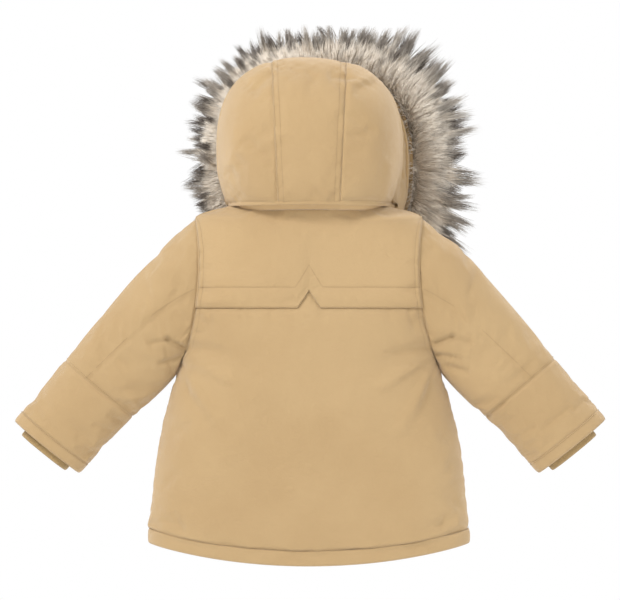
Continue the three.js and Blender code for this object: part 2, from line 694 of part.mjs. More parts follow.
flapSlab.translate(0, 0, flapBottom);
const snapLevels = Array.from({ length: snapCount }, (_, k) => lerp(flapTop - 24, flapBottom + 60, k / (snapCount - 1)));
const capFace = restFace - flapWall;
const shankHoles = snapLevels.map((z) => disc(snapPost + gap, capFace - 2, restFace + 2).translate(-snapEdge, 0, z));
add("storm_flap", cut(flapSlab, ...shankHoles), cloth, front);

// A snap's cap, with its shank through the cloth, and the stud that it closes on.
const snapCap = () =>
  join(disc(snapRadius, capFace - gap - 1.8, capFace - gap), disc(snapPost, capFace - gap - 0.2, restFace + 0.6));
const studFace = -0.3 - gap;
const snapStud = () => join(disc(4.6, studFace - 0.9, studFace), disc(1.6, studFace - 1.6, studFace - 0.5));
snapLevels.forEach((z, k) => {
  add(`storm_flap_cap_${k + 1}`, snapCap().translate(-snapEdge, 0, z), brass, front);
  add(`storm_flap_stud_${k + 1}`, snapStud().translate(-snapEdge, 0, z), brass, front);
});

// ---- The pockets: flat patches on each front, each with a flap and a snap ----
// A pocket's plane is the chord of the curved front between its two sides, pushed clear of the curve's bulge.
const pocketHigh = pocketLow + pocketWidth;
const pocketMidLevel = pocketLevel - pocketHeight / 2;
const frontFace = (x) => bodyPoint(turnAt(x, pocketMidLevel, 0, false), pocketMidLevel, 0, false)[1];
const chordTurn = Math.atan2(frontFace(pocketHigh) - frontFace(pocketLow), pocketWidth);
const chordMid = frontFace((pocketLow + pocketHigh) / 2);
const patchOut = -pocketRoom - pocketWall;
const flapLow = patchOut - pocketSnapRoom - pocketFlapWall;
const mouthGap = 9; // between the flap's seam and the patch's upper edge
for (const [side, mirror] of [
  ["left", 1],
  ["right", -1],
]) {
  const plane = new THREE.Group();
  plane.position.set(mirror * (pocketLow + pocketWidth / 2), chordMid - 2 * gap, pocketLevel);
  plane.rotation.set(-frontSlope, 0, mirror * chordTurn, "ZXY");
  coat.add(plane);
  const half = pocketWidth / 2;
  const patch = box(-half, half, patchOut, 0, -pocketHeight, 0);
  const room = box(-half + pocketWall, half - pocketWall, -pocketRoom, 20, -pocketHeight + pocketWall, 20);
  add(`${side}_pocket`, cut(patch, room), cloth, plane);
  const wide = half + pocketFlapOverhang;
  const flapSeam = mouthGap + 5;
  const leaf = box(-wide, wide, flapLow, flapLow + pocketFlapWall, flapSeam - pocketFlapHeight, flapSeam);
  const root = box(-wide, wide, flapLow, -gap, mouthGap, flapSeam);
  const snapZ = flapSeam - pocketFlapHeight + 14;
  const hole = disc(snapPost + gap, flapLow - 2, flapLow + pocketFlapWall + 2).translate(0, 0, snapZ);
  add(`${side}_pocket_flap`, cut(join(leaf, root), hole), cloth, plane);
  const cap = join(
    disc(snapRadius, flapLow - gap - 1.8, flapLow - gap),
    disc(snapPost, flapLow - gap - 0.2, flapLow + pocketFlapWall - gap),
  );
  add(`${side}_pocket_cap`, cap.translate(0, 0, snapZ), brass, plane);
  add(`${side}_pocket_stud`, snapStud().translate(0, patchOut + 0.3, snapZ), brass, plane);
}

// ---- The frame: the origin is the point of the loop that a hook bears on ----
const part = new THREE.Group();
coat.position.set(0, -(collarFace - loopStandoff + loopWall / 2), -loopLevel);
part.add(coat);
export default part;
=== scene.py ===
"""A child's padded winter coat, seen from behind, with its hood up and a fur ruff round the hood's edge."""

import math

import bmesh
import bpy
import mathutils
import numpy as np
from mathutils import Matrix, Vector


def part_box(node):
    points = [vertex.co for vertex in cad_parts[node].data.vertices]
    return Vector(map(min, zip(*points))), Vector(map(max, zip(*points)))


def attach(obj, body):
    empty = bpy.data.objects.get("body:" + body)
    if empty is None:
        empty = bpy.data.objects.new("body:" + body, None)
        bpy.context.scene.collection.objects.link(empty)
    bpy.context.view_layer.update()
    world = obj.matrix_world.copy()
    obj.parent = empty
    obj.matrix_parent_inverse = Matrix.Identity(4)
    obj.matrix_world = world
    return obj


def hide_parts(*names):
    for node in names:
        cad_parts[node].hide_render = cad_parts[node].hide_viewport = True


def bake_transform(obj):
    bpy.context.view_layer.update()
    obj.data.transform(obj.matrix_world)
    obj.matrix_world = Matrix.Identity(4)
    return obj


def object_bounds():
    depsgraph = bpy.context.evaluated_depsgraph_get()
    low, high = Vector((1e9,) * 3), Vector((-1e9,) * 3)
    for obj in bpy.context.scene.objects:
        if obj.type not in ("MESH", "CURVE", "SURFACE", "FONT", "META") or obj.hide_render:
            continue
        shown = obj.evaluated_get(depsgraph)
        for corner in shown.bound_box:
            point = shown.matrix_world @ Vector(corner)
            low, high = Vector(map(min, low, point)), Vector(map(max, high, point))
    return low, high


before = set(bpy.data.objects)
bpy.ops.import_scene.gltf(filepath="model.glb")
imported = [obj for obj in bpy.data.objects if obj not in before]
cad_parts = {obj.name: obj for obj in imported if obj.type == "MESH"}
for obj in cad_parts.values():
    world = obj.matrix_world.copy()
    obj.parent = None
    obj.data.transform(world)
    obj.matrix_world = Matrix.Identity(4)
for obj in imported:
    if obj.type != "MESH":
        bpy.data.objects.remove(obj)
cad_box = [list(corner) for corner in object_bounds()]
MM = 0.001


def node_box(node):
    """A node's corners in millimetres."""
    low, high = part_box(node)
    return np.array(low) / MM, np.array(high) / MM


# ---- The coat's own zero: the middle of its depth, at the height of the neck seam ----
cuff_low, cuff_high = node_box("left_cuff_band")
_, fold_high = node_box("hood_base")
HOOD_FOLD_LEVEL = 60
ZERO = np.array([0, (cuff_low[1] + cuff_high[1]) / 2, fold_high[2] - HOOD_FOLD_LEVEL])


def placed(points):
    """Points in the coat's own millimetres, as metres in the row frame."""
    return (np.asarray(points, float) + ZERO) * MM


# ---- Camera ----
VIEW_WIDTH = 0.93  # what the picture's width takes in at the coat
CAMERA_DISTANCE = 4.2
VIEW_DROP = 142.5  # how far below the coat's zero the picture's middle is, in millimetres


def make_camera():
    """Square on to the back, from far enough off that near and far parts show at nearly one scale."""
    data = bpy.data.cameras.new("camera")
    data.sensor_width = 36
    data.lens = data.sensor_width * CAMERA_DISTANCE / VIEW_WIDTH
    camera = bpy.data.objects.new("camera", data)
    camera.location = (-0.0015, ZERO[1] * MM + 0.05 + CAMERA_DISTANCE, (ZERO[2] - VIEW_DROP) * MM)
    camera.rotation_euler = (math.radians(90), 0, math.radians(180))
    bpy.context.scene.collection.objects.link(camera)
    bpy.context.scene.camera = camera


make_camera()

# ---- Sizes, in millimetres in the coat's own frame ----
NECK_HALF_WIDTH, NECK_LEVEL, NECK_HALF_DEPTH = 62, 22, 50
NECK_DIP_BACK, NECK_DIP_FRONT = 18, 52
SHOULDER_HALF_WIDTH, SHOULDER_LEVEL = 172, -19
ARMPIT_HALF_WIDTH, ARMPIT_LEVEL, ARMHOLE_BOW = 192, -235, 14
HEM_HALF_WIDTH, HEM_LEVEL, HEM_BAND = 240, -510, 22
TAIL_DROP, FRONT_DROP, SIDE_FLARE = 31, 6, 2.4
CHEST_HALF_DEPTH, HEM_HALF_DEPTH = 70, 64
FRONT_DEPTH_TOP, FRONT_DEPTH_HEM = 56, 68
BODY_ROUNDNESS = 2.5
BAND_LEVEL = HEM_LEVEL + HEM_BAND
YOKE_LEVEL, NOTCH_HEIGHT, NOTCH_HALF_WIDTH = -154.5, 26, 17
SLEEVE_LENGTH, SLEEVE_SLOPE = 321, math.radians(48.2)
CUFF_HALF_WIDTH, CUFF_HALF_DEPTH, ARMHOLE_HALF_DEPTH = 62, 31, 44
CUFF_TILT, SLEEVE_ROUNDNESS, CUFF_BAND = 39, 2.2, 19
HOOD_HALF_WIDTH, HOOD_HALF_HEIGHT, HOOD_LEVEL = 137, 140, 85
HOOD_MID_DEPTH, HOOD_BACK_DEPTH, HOOD_FRONT_DEPTH, HOOD_ROUNDNESS = -20, 108, 220, 2.6
RIM_DEPTH, HOOD_LEAN, CROWN_DROP = -105, -24, 20
HOOD_HEM_LEVEL, HOOD_THROAT_LEVEL = 8, -28
HOOD_EDGE_LEVEL = HOOD_HEM_LEVEL - 5.5  # the outer cloth hangs a little lower than the wadding
SEAM_TOP, SEAM_BOTTOM = 58, 45
FACE_BAND = 22
FRONT_EDGE = 46.4
SHELL = 5.5  # the outer cloth with its wadding
SEAM_WIDTH = 2.5  # how far from a seam the cloth is drawn in


def lerp(a, b, t):
    return a + (b - a) * t


def unit(vectors):
    return vectors / np.linalg.norm(vectors, axis=-1, keepdims=True)


def run_length(points):
    """How far along a path each of its points lies."""
    return np.concatenate([[0], np.cumsum(np.linalg.norm(np.diff(points, axis=0), axis=1))])


def evenly(points, count):
    """Points in equal steps along a path."""
    length = run_length(points)
    wanted = np.linspace(0, length[-1], count)
    return np.stack([np.interp(wanted, length, points[:, axis]) for axis in range(3)], -1)


def bump_at(distance, width):
    """1 on a line, fading away from it within about a width."""
    return np.exp(-((distance / width) ** 2))


def ease(t):
    t = np.clip(t, 0, 1)
    return t * t * (3 - 2 * t)


def power(x, p):
    return np.sign(x) * np.abs(x) ** p


def bowl(x, n):
    return np.maximum(0, 1 - np.abs(x) ** n) ** (1 / n)


def wavy(seed, *coordinates, octaves=3):
    """Smooth seeded noise about zero: a sum of sine waves that turn and shorten."""
    chance = np.random.default_rng(seed)
    total = 0
    for octave in range(octaves):
        for _ in range(4):
            pull = chance.normal(size=len(coordinates)) * 2**octave
            phase = chance.uniform(0, 2 * np.pi)
            total = total + np.sin(sum(p * c for p, c in zip(pull, coordinates)) + phase) / 2**octave
    return total / 4


# ---- The body's outline ----
ARMHOLE_MID = (SHOULDER_LEVEL + ARMPIT_LEVEL) / 2
ARMHOLE_HALF = (SHOULDER_LEVEL - ARMPIT_LEVEL) / 2


def armhole_x(level):
    across = (level - ARMHOLE_MID) / ARMHOLE_HALF
    straight = lerp(ARMPIT_HALF_WIDTH, SHOULDER_HALF_WIDTH, (across + 1) / 2)
    return straight - ARMHOLE_BOW * (1 - across**2)


def body_half_depth(level, back):
    down = np.clip((NECK_LEVEL - level) / (NECK_LEVEL - HEM_LEVEL), 0, 1)
    if not back:
        return lerp(FRONT_DEPTH_TOP, FRONT_DEPTH_HEM, down)
    chest = lerp(NECK_HALF_DEPTH, CHEST_HALF_DEPTH, ease(down * 2.6))
    return lerp(chest, HEM_HALF_DEPTH, ease(down * 2 - 1))


def body_half_width(level, back):
    if level >= SHOULDER_LEVEL:
        up = (level - SHOULDER_LEVEL) / (NECK_LEVEL - SHOULDER_LEVEL)
        return lerp(SHOULDER_HALF_WIDTH, NECK_HALF_WIDTH, up)
    if level > ARMPIT_LEVEL:
        edge = ARMHOLE_HALF_DEPTH * bowl((level - ARMHOLE_MID) / ARMHOLE_HALF, SLEEVE_ROUNDNESS)
        return armhole_x(level) / bowl(edge / body_half_depth(level, back), BODY_ROUNDNESS)
    down = min(1, (ARMPIT_LEVEL - level) / (ARMPIT_LEVEL - HEM_LEVEL))
    spread = 4 * ease((down - 0.7) / 0.3)
    return HEM_HALF_WIDTH + spread - (HEM_HALF_WIDTH - ARMPIT_HALF_WIDTH) * (1 - down) ** SIDE_FLARE


def body_points(turn, level, depth, back):
    across = power(np.sin(turn), 2 / BODY_ROUNDNESS)
    out = np.abs(np.cos(turn)) ** (2 / BODY_ROUNDNESS)
    neck = ease((level + 60) / (NECK_LEVEL + 60)) * (NECK_DIP_BACK if back else NECK_DIP_FRONT)
    hem = ease((-300 - level) / (-300 - HEM_LEVEL)) * (TAIL_DROP if back else FRONT_DROP)
    x = across * (body_half_width(level, back) - depth)
    y = out * (body_half_depth(level, back) - depth) * (1 if back else -1)
    return np.stack([x, y, level - (1 - across**2) * (neck + hem)], -1)


def body_row(level, depth, back, count):
    """One level of the back, or of the left front from its front edge, in steps of equal length."""
    width = body_half_width(level, back) - depth
    end = math.pi / 2
    if ARMPIT_LEVEL < level < SHOULDER_LEVEL:
        end = math.asin(min(1, (armhole_x(level) / width) ** (BODY_ROUNDNESS / 2)))
    start = -end if back else math.asin((FRONT_EDGE / width) ** (BODY_ROUNDNESS / 2))
    return evenly(body_points(np.linspace(start, end, 400), level, depth, back), count)


def body_grid(depth, back, columns, levels):
    return np.stack([body_row(level, depth, back, columns) for level in levels])


# ---- The sleeves' outline ----
SLEEVE_START = ((SHOULDER_HALF_WIDTH + ARMPIT_HALF_WIDTH) / 2, ARMHOLE_MID)
ARMHOLE_TILT = 90 + math.degrees(math.atan2(ARMPIT_HALF_WIDTH - SHOULDER_HALF_WIDTH, 2 * ARMHOLE_HALF))
ARMHOLE_SPAN = math.hypot(ARMHOLE_HALF, (ARMPIT_HALF_WIDTH - SHOULDER_HALF_WIDTH) / 2)


def sleeve_points(turn, share, depth, half=None, thick=None):
    """A point of the left sleeve.

    Turn is 0 at the outer edge and pi at the underarm. Share runs from the armhole to the cuff.
    """
    straight = np.maximum(0, 1 - share / 0.64)
    tilt = np.radians(lerp(CUFF_TILT, ARMHOLE_TILT, straight))
    if half is None:
        half = lerp(CUFF_HALF_WIDTH, ARMHOLE_SPAN, np.maximum(0, 1 - share) ** 3)
        thick = lerp(ARMHOLE_HALF_DEPTH, CUFF_HALF_DEPTH, np.minimum(share, 1))
    across = power(np.cos(turn), 2 / SLEEVE_ROUNDNESS)
    reach = (half - depth) * across
    bow = ARMHOLE_BOW * (1 - across**2) * np.maximum(0, 1 - share / 0.2)
    along = SLEEVE_LENGTH * share
    x = SLEEVE_START[0] + math.cos(SLEEVE_SLOPE) * along + np.cos(tilt) * reach - bow
    z = SLEEVE_START[1] - math.sin(SLEEVE_SLOPE) * along + np.sin(tilt) * reach
    y = power(np.sin(turn), 2 / SLEEVE_ROUNDNESS) * (thick - depth)
    return np.stack(np.broadcast_arrays(x, y, z), -1)


def mirrored(points, side):
    """Points of the left side, as they are or for the right side."""
    return points if side == "left" else points * (-1, 1, 1)


# ---- The hood's outline ----
def hood_forward(y):
    """How far forward a place on the hood is: 0 from its middle back, and 1 at the face edge."""
    return np.maximum(0, (HOOD_MID_DEPTH - y) / (HOOD_MID_DEPTH - RIM_DEPTH))


def hood_depth(y):
    """The hood's depth from its middle to its back or its front, whichever a place is nearer."""
    return np.where(y > HOOD_MID_DEPTH, HOOD_BACK_DEPTH, HOOD_FRONT_DEPTH)


def hood_points(direction, depth):
    """Points of the hood in directions from its middle, leaning and sloping towards the face opening."""
    norm = (np.abs(direction) ** HOOD_ROUNDNESS).sum(-1)
    grown = direction * (norm ** (-1 / HOOD_ROUNDNESS))[..., None]
    deep = np.where(direction[..., 1] > 0, HOOD_BACK_DEPTH, HOOD_FRONT_DEPTH) - depth
    y = HOOD_MID_DEPTH + grown[..., 1] * deep
    forward = hood_forward(y)
    x = grown[..., 0] * (HOOD_HALF_WIDTH - depth) + HOOD_LEAN * forward
    z = HOOD_LEVEL + grown[..., 2] * (HOOD_HALF_HEIGHT - depth) - CROWN_DROP * forward
    return np.stack([x, y, z], -1)


def hood_edge(y):
    """The height of the hood's lower edge: level at the back, dropping to the throat."""
    return lerp(HOOD_EDGE_LEVEL, HOOD_THROAT_LEVEL, np.clip((-50 - y) / 51, 0, 1))


def hood_seam(z):
    """Half the width of the hood's middle panel."""
    return lerp(SEAM_BOTTOM, SEAM_TOP, (z + 38) / 273)


# ---- Meshes ----
def grid_faces(rows, columns, closed=False):
    across = columns if closed else columns - 1
    r, c = np.meshgrid(np.arange(rows - 1), np.arange(across), indexing="ij")
    r, c = r.ravel(), c.ravel()
    nxt = (c + 1) % columns
    return np.stack([r * columns + c, r * columns + nxt, (r + 1) * columns + nxt, (r + 1) * columns + c], -1)


def in_scene(name, data):
    """A new object, in the scene."""
    obj = bpy.data.objects.new(name, data)
    bpy.context.scene.collection.objects.link(obj)
    return obj


def built(bm, name):
    """A mesh from a finished bmesh."""
    mesh = bpy.data.meshes.new(name)
    bm.to_mesh(mesh)
    bm.free()
    return mesh


def piece(name, points, faces, material, uv=None):
    """An object in the row frame from points in the coat's own millimetres."""
    mesh = bpy.data.meshes.new(name)
    mesh.from_pydata(placed(points).tolist(), [], [[int(k) for k in face] for face in faces])
    mesh.materials.append(material)
    if uv is not None:
        layer = mesh.uv_layers.new(name="cloth")
        loops = np.zeros(len(mesh.loops), int)
        mesh.loops.foreach_get("vertex_index", loops)
        layer.data.foreach_set("uv", (np.asarray(uv, float)[loops] * MM).ravel())
    mesh.shade_smooth()
    return in_scene(name, mesh)


def faces_out(obj, centre=None):
    """Turns the faces outwards: away from a point on an open sheet, or by volume on a closed piece."""
    bm = bmesh.new()
    bm.from_mesh(obj.data)
    bmesh.ops.remove_doubles(bm, verts=bm.verts, dist=0.00003)
    bmesh.ops.recalc_face_normals(bm, faces=bm.faces)
    if centre is not None:
        middle = placed(centre)
        spread = 0
        for f in bm.faces:
            spread += (np.array(f.calc_center_median()) - middle) @ np.array(f.normal) * f.calc_area()
        if spread < 0:
            bmesh.ops.reverse_faces(bm, faces=bm.faces)
    bm.to_mesh(obj.data)
    bm.free()
    return obj


def plain_mesh(obj):
    """Applies an object's modifiers."""
    bpy.context.view_layer.update()
    mesh = bpy.data.meshes.new_from_object(obj.evaluated_get(bpy.context.evaluated_depsgraph_get()))
    obj.modifiers.clear()
    obj.data = mesh
    return obj


def thicken(obj, thickness, centre):
    """Gives an open sheet a wall on its inner side."""
    faces_out(obj, centre)
    wall = obj.modifiers.new("wall", "SOLIDIFY")
    wall.thickness = thickness * MM
    wall.offset = -1
    return plain_mesh(obj)


def swept(name, rings, material, looped=False):
    """A padded strip: closed rings of points, one after another, with filled ends or joined into a loop."""
    rings = np.asarray(rings, float)
    rows, columns = rings.shape[:2]
    lengths = run_length(rings.mean(1)), run_length(rings[0])
    uv = np.stack(np.meshgrid(*lengths, indexing="ij"), -1).reshape(-1, 2)
    faces = grid_faces(rows, columns, True).tolist()
    if looped:
        last = (rows - 1) * columns
        faces += [[last + k, last + (k + 1) % columns, (k + 1) % columns, k] for k in range(columns)]
    else:
        faces += [list(range(columns)), [(rows - 1) * columns + k for k in range(columns)]]
    return faces_out(piece(name, rings.reshape(-1, 3), faces, material, uv))


def shell(obj, fill, *replaced):
    """Hides the nodes that a padded piece of the outer cloth stands for, if any, and gives the piece back.
    """
    if replaced:
        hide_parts(*replaced)
    return obj


def round_box(half_x, half_y, sharpness=5, count=20):
    """A rounded rectangle as points about zero."""
    turn = np.arange(count) / count * 2 * np.pi + np.pi / count
    x = half_x * power(np.cos(turn), 2 / sharpness)
    y = half_y * power(np.sin(turn), 2 / sharpness)
    return np.stack([x, y], -1)


class Cloth:
    """Cloth as a grid of points in millimetres. It is read anywhere by u across and v down, from 0 to 1."""

    def __init__(self, points, closed=False):
        self.points = np.asarray(points, float)
        self.closed = closed

    def normals(self):
        p = self.points
        if self.closed:
            across = np.roll(p, -1, 1) - np.roll(p, 1, 1)
        else:
            across = np.gradient(p, axis=1)
        down = np.gradient(p, axis=0)
        n = np.cross(across, down)
        return n / np.maximum(np.linalg.norm(n, axis=-1, keepdims=True), 1e-9)

    def _read(self, values, u, v):
        rows, columns = values.shape[:2]
        x = np.asarray(u) * (columns if self.closed else columns - 1)
        y = np.clip(np.asarray(v), 0, 1) * (rows - 1)
        j = np.clip(np.floor(y).astype(int), 0, rows - 2)
        fy = (y - j)[..., None]
        if self.closed:
            i = np.floor(x).astype(int)
            pick = lambda k: k % columns
        else:
            i = np.clip(np.floor(x).astype(int), 0, columns - 2)
            pick = lambda k: np.clip(k, 0, columns - 1)
        fx = (x - i)[..., None]
        line = lambda row: _curve([values[row, pick(i + k)] for k in (-1, 0, 1, 2)], fx)
        rows_at = [line(np.clip(j + k, 0, rows - 1)) for k in (-1, 0, 1, 2)]
        return _curve(rows_at, fy)

    def at(self, u, v, lift=0):
        u, v = np.broadcast_arrays(np.asarray(u, float), np.asarray(v, float))
        p = self._read(self.points, u, v)
        if np.any(lift):
            n = self.normal_at(u, v)
            p = p + n * (np.asarray(lift)[..., None] if np.ndim(lift) else lift)
        return p

    def normal_at(self, u, v):
        return unit(self._read(self.normals() * self.side, u, v))

    side = 1  # 1 if across x down points out of the coat, or -1

    def face_from(self, centre):
        out = ((self.points - np.asarray(centre)) * self.normals()).sum(-1).mean()
        self.side = 1 if out > 0 else -1
        return self

    def pushed(self, amount):
        """The same cloth moved out along its normals by an amount, one for each point."""
        moved = Cloth(self.points + self.normals() * self.side * np.asarray(amount)[..., None], self.closed)
        moved.side = self.side
        return moved

    def piece(self, name, u, v, material, lift=0, closed=False, dips=(0, 0, 0, 0), tuck=None):
        """A mesh over part of the cloth.

        Each dip is how deep it is drawn in at its left, right, top and bottom seam. A tuck is a function
        that takes the first row of points and gives one more row before it, under its neighbour.
        """
        u, v = np.broadcast_arrays(u, v)
        flat = self.at(u, v)
        rows, columns = u.shape
        across = np.linalg.norm(np.diff(flat, axis=1), axis=-1)
        down = np.linalg.norm(np.diff(flat, axis=0), axis=-1)
        x = np.concatenate([np.zeros((rows, 1)), across.cumsum(1)], 1)
        y = np.concatenate([np.zeros((1, columns)), down.cumsum(0)], 0)
        borders = (x, x[:, -1:] - x, y, y[-1:] - y)
        drawn = sum(dip * bump_at(border, SEAM_WIDTH) for dip, border in zip(dips, borders))
        points = self.at(u, v, lift - drawn)
        if tuck is not None:
            points = np.concatenate([tuck(points[:1]), points])
            x, y, rows = np.concatenate([x[:1], x]), np.concatenate([y[:1] - 5, y]), rows + 1
        uv = np.stack([x - x[:, -1:] / 2, y], -1).reshape(-1, 2)
        return piece(name, points.reshape(-1, 3), grid_faces(rows, columns, closed), material, uv)


def _curve(p, t):
    """A smooth curve through the middle two of four values."""
    bend = 3 * (p[1] - p[2]) + p[3] - p[0]
    return p[1] + 0.5 * t * (p[2] - p[0] + t * (2 * p[0] - 5 * p[1] + 4 * p[2] - p[3] + t * bend))


def spaced(length, step, marks=(), fine=(-2.4, -1.2, 0, 1.2, 2.4)):
    """Shares from 0 to 1 along a length, a step apart, with closer ones about each mark."""
    places = [k * length / round(length / step) for k in range(round(length / step) + 1)]
    near = [m + f for m in marks for f in fine if 0 < m + f < length]
    kept = [p for p in places if p in (0, length) or all(abs(p - n) > 0.6 for n in near)]
    return np.array(sorted(kept + near)) / length


# ---- Cloth that is cut a little large, held at its seams, and left to puff and wrinkle ----
def settle(jobs, frames=20):
    """Each job's points after its cloth has moved. A job is (points, faces, held, excess, pressure, cap)."""
    scene = bpy.context.scene
    objects = []
    for points, faces, held, excess, pressure, _ in jobs:
        mesh = bpy.data.meshes.new("settling")
        mesh.from_pydata((points * MM).tolist(), [], np.asarray(faces).tolist())
        obj = in_scene("settling", mesh)
        group = obj.vertex_groups.new(name="held")
        group.add([int(k) for k in np.flatnonzero(held)], 1, "REPLACE")
        cloth = obj.modifiers.new("cloth", "CLOTH")
        settings = cloth.settings
        settings.quality = 6
        settings.mass = 0.15
        settings.tension_stiffness = settings.compression_stiffness = 18
        settings.shear_stiffness = 8
        settings.bending_stiffness = 0.6
        settings.air_damping = 3
        settings.vertex_group_mass = "held"
        settings.shrink_min = -excess
        settings.use_pressure = True
        settings.uniform_pressure_force = pressure
        settings.effector_weights.gravity = 0
        cloth.collision_settings.use_collision = False
        cloth.point_cache.frame_start = 1
        cloth.point_cache.frame_end = frames
        objects.append(obj)
    for number in range(1, frames + 1):
        scene.frame_set(number)
    graph = bpy.context.evaluated_depsgraph_get()
    results = []
    for obj, (points, *_, cap) in zip(objects, jobs):
        mesh = obj.evaluated_get(graph).to_mesh()
        moved = np.zeros(len(mesh.vertices) * 3)
        mesh.vertices.foreach_get("co", moved)
        step = moved.reshape(-1, 3) / MM - points
        size = np.linalg.norm(step, axis=1, keepdims=True)
        results.append(points + step * (cap / (cap + size)))
    for obj in objects:
        bpy.data.objects.remove(obj)
    scene.frame_set(1)
    return results


# ---- Materials ----
class Value:
    """A shader value, so that the sums of a material read as sums."""

    def __init__(self, look, socket):
        self.look, self.socket = look, socket

    def _math(self, operation, *terms):
        return self.look.value("ShaderNodeMath", {"operation": operation}, dict(enumerate(terms)))

    def __add__(self, other):
        return self._math("ADD", self, other)

    def __mul__(self, other):
        return self._math("MULTIPLY", self, other)

    def __sub__(self, other):
        return self._math("SUBTRACT", self, other)

    def __rsub__(self, other):
        return self._math("SUBTRACT", other, self)

    __radd__, __rmul__ = __add__, __mul__

    def wave(self, length):
        """A sine wave of the value, from -1 to 1, that repeats at every length."""
        turn = self * (2 * math.pi / length)
        return turn._math("SINE", turn)

    def step(self, low, high):
        """0 below low and 1 above high, with a smooth rise between them."""
        settings = {"interpolation_type": "SMOOTHSTEP"}
        inputs = {"Value": self, "From Min": low, "From Max": high}
        return self.look.value("ShaderNodeMapRange", settings, inputs)


class Look:
    """A material, built from nodes."""

    def __init__(self, name, **constants):
        self.material = bpy.data.materials.new(name)
        self.material.use_nodes = True
        self.tree = self.material.node_tree
        self.shader = self.tree.nodes["Principled BSDF"]
        for socket, number in constants.items():
            self.shader.inputs[socket.replace("_", " ").title().replace("Ior", "IOR")].default_value = number
        self.place = self.value("ShaderNodeTexCoord", out="Object")

    def node(self, kind, settings=None, inputs=None):
        """A node of any kind: its settings are set first, and then its sockets' values or links."""
        made = self.tree.nodes.new(kind)
        for key, setting in (settings or {}).items():
            if key == "stops":
                ramp = made.color_ramp.elements
                for index, (place, colour) in enumerate(setting):
                    # a new ramp already has two stops
                    stop = ramp[index] if index < 2 else ramp.new(place)
                    stop.position, stop.color = place, (*colour, 1)
            else:
                setattr(made, key, setting)
        for key, entry in (inputs or {}).items():
            if isinstance(entry, Value):
                self.tree.links.new(entry.socket, made.inputs[key])
            else:
                made.inputs[key].default_value = entry
        return made

    def value(self, kind, settings=None, inputs=None, out=0):
        return Value(self, self.node(kind, settings, inputs).outputs[out])

    def noise(self, scale, detail=3, where=None):
        inputs = {"Vector": where or self.place, "Scale": scale, "Detail": detail}
        return self.value("ShaderNodeTexNoise", None, inputs)

    def mix(self, factor, first, second):
        # the colour sockets of a Mix node are its seventh and eighth, and its third result
        return self.value("ShaderNodeMix", {"data_type": "RGBA"}, {0: factor, 6: first, 7: second}, 2)

    def bump(self, height, strength, distance):
        inputs = {"Height": height, "Strength": strength, "Distance": distance}
        self.feed("Normal", self.value("ShaderNodeBump", None, inputs))

    def feed(self, socket, entry):
        self.tree.links.new(entry.socket, self.shader.inputs[socket])


STUDIO_LIGHT = 1.62  # how bright a plain white surface that faces the key light would be


def tint(red, green, blue, light=STUDIO_LIGHT):
    """A colour as it looks in the studio's light, as the linear numbers that a shader takes."""
    return tuple(((c / 255 + 0.055) / 1.055) ** 2.4 / light for c in (red, green, blue))


def woven_look(name, light, dark, thread=0.00055, sheen=0.25):
    """Fine plain-woven cloth: two close tones, a weave along the cloth, slubs, and a soft sheen."""
    look = Look(name, roughness=0.8, sheen_weight=sheen, sheen_roughness=0.45, specular_ior_level=0.25)
    cloth = look.value("ShaderNodeUVMap", {"uv_map": "cloth"})
    split = look.node("ShaderNodeSeparateXYZ", None, {0: cloth})
    across, down = Value(look, split.outputs[0]), Value(look, split.outputs[1])
    weave = across.wave(thread) * down.wave(thread)
    broad = look.noise(7, 4)
    slub = look.noise(420, 2)
    worn = broad.step(0.3, 0.7) * 0.7 + slub * 0.35
    look.feed("Base Color", look.mix(worn, (*dark, 1), (*light, 1)))
    look.feed("Roughness", 0.72 + slub * 0.12 + broad * 0.06)
    crinkle = look.noise(52, 5) * 10 + look.noise(140, 3) * 2.6
    look.bump(weave * 0.5 + slub * 1.2 + crinkle, 0.75, 0.00034)
    return look.material


def lining_look(name, light, dark):
    """Thin smooth lining cloth with a slight gloss."""
    look = Look(name, roughness=0.45, sheen_weight=0.1, specular_ior_level=0.4)
    broad = look.noise(11, 4)
    look.feed("Base Color", look.mix(broad.step(0.35, 0.7), (*dark, 1), (*light, 1)))
    look.feed("Roughness", 0.4 + broad * 0.2)
    look.bump(look.noise(60, 4) + look.noise(700, 2) * 0.3, 0.25, 0.0008)
    return look.material


def tape_look(name, light, dark, twill=0.0011):
    """Twill tape: slanting ribs."""
    look = Look(name, roughness=0.75, sheen_weight=0.15, specular_ior_level=0.3)
    split = look.node("ShaderNodeSeparateXYZ", None, {0: look.place})
    slant = Value(look, split.outputs[0]) + Value(look, split.outputs[2])
    ribs = slant.wave(twill)
    grain = look.noise(600, 2)
    look.feed("Base Color", look.mix(ribs * 0.25 + grain * 0.6, (*dark, 1), (*light, 1)))
    look.feed("Roughness", 0.68 + grain * 0.16)
    look.bump(ribs + grain * 0.6, 0.4, 0.0003)
    return look.material


def brass_look(name):
    """Aged brass, brushed and duller in its hollows."""
    look = Look(name, metallic=1, roughness=0.35)
    age = look.noise(160, 4)
    dull, bright = (*tint(120, 98, 62), 1), (*tint(186, 160, 108), 1)
    look.feed("Base Color", look.mix(age.step(0.35, 0.7), dull, bright))
    look.feed("Roughness", 0.28 + age * 0.25)
    look.bump(look.noise(900, 2) * 0.5 + age, 0.2, 0.0001)
    return look.material


def thread_look(name, colour):
    """Sewing thread, twisted."""
    look = Look(name, roughness=0.7, sheen_weight=0.2, specular_ior_level=0.3)
    twist = look.noise(900, 1)
    shaded = tint(*(c * 0.86 for c in colour))
    look.feed("Base Color", look.mix(twist, (*shaded, 1), (*tint(*colour), 1)))
    look.bump(twist, 0.3, 0.0001)
    return look.material


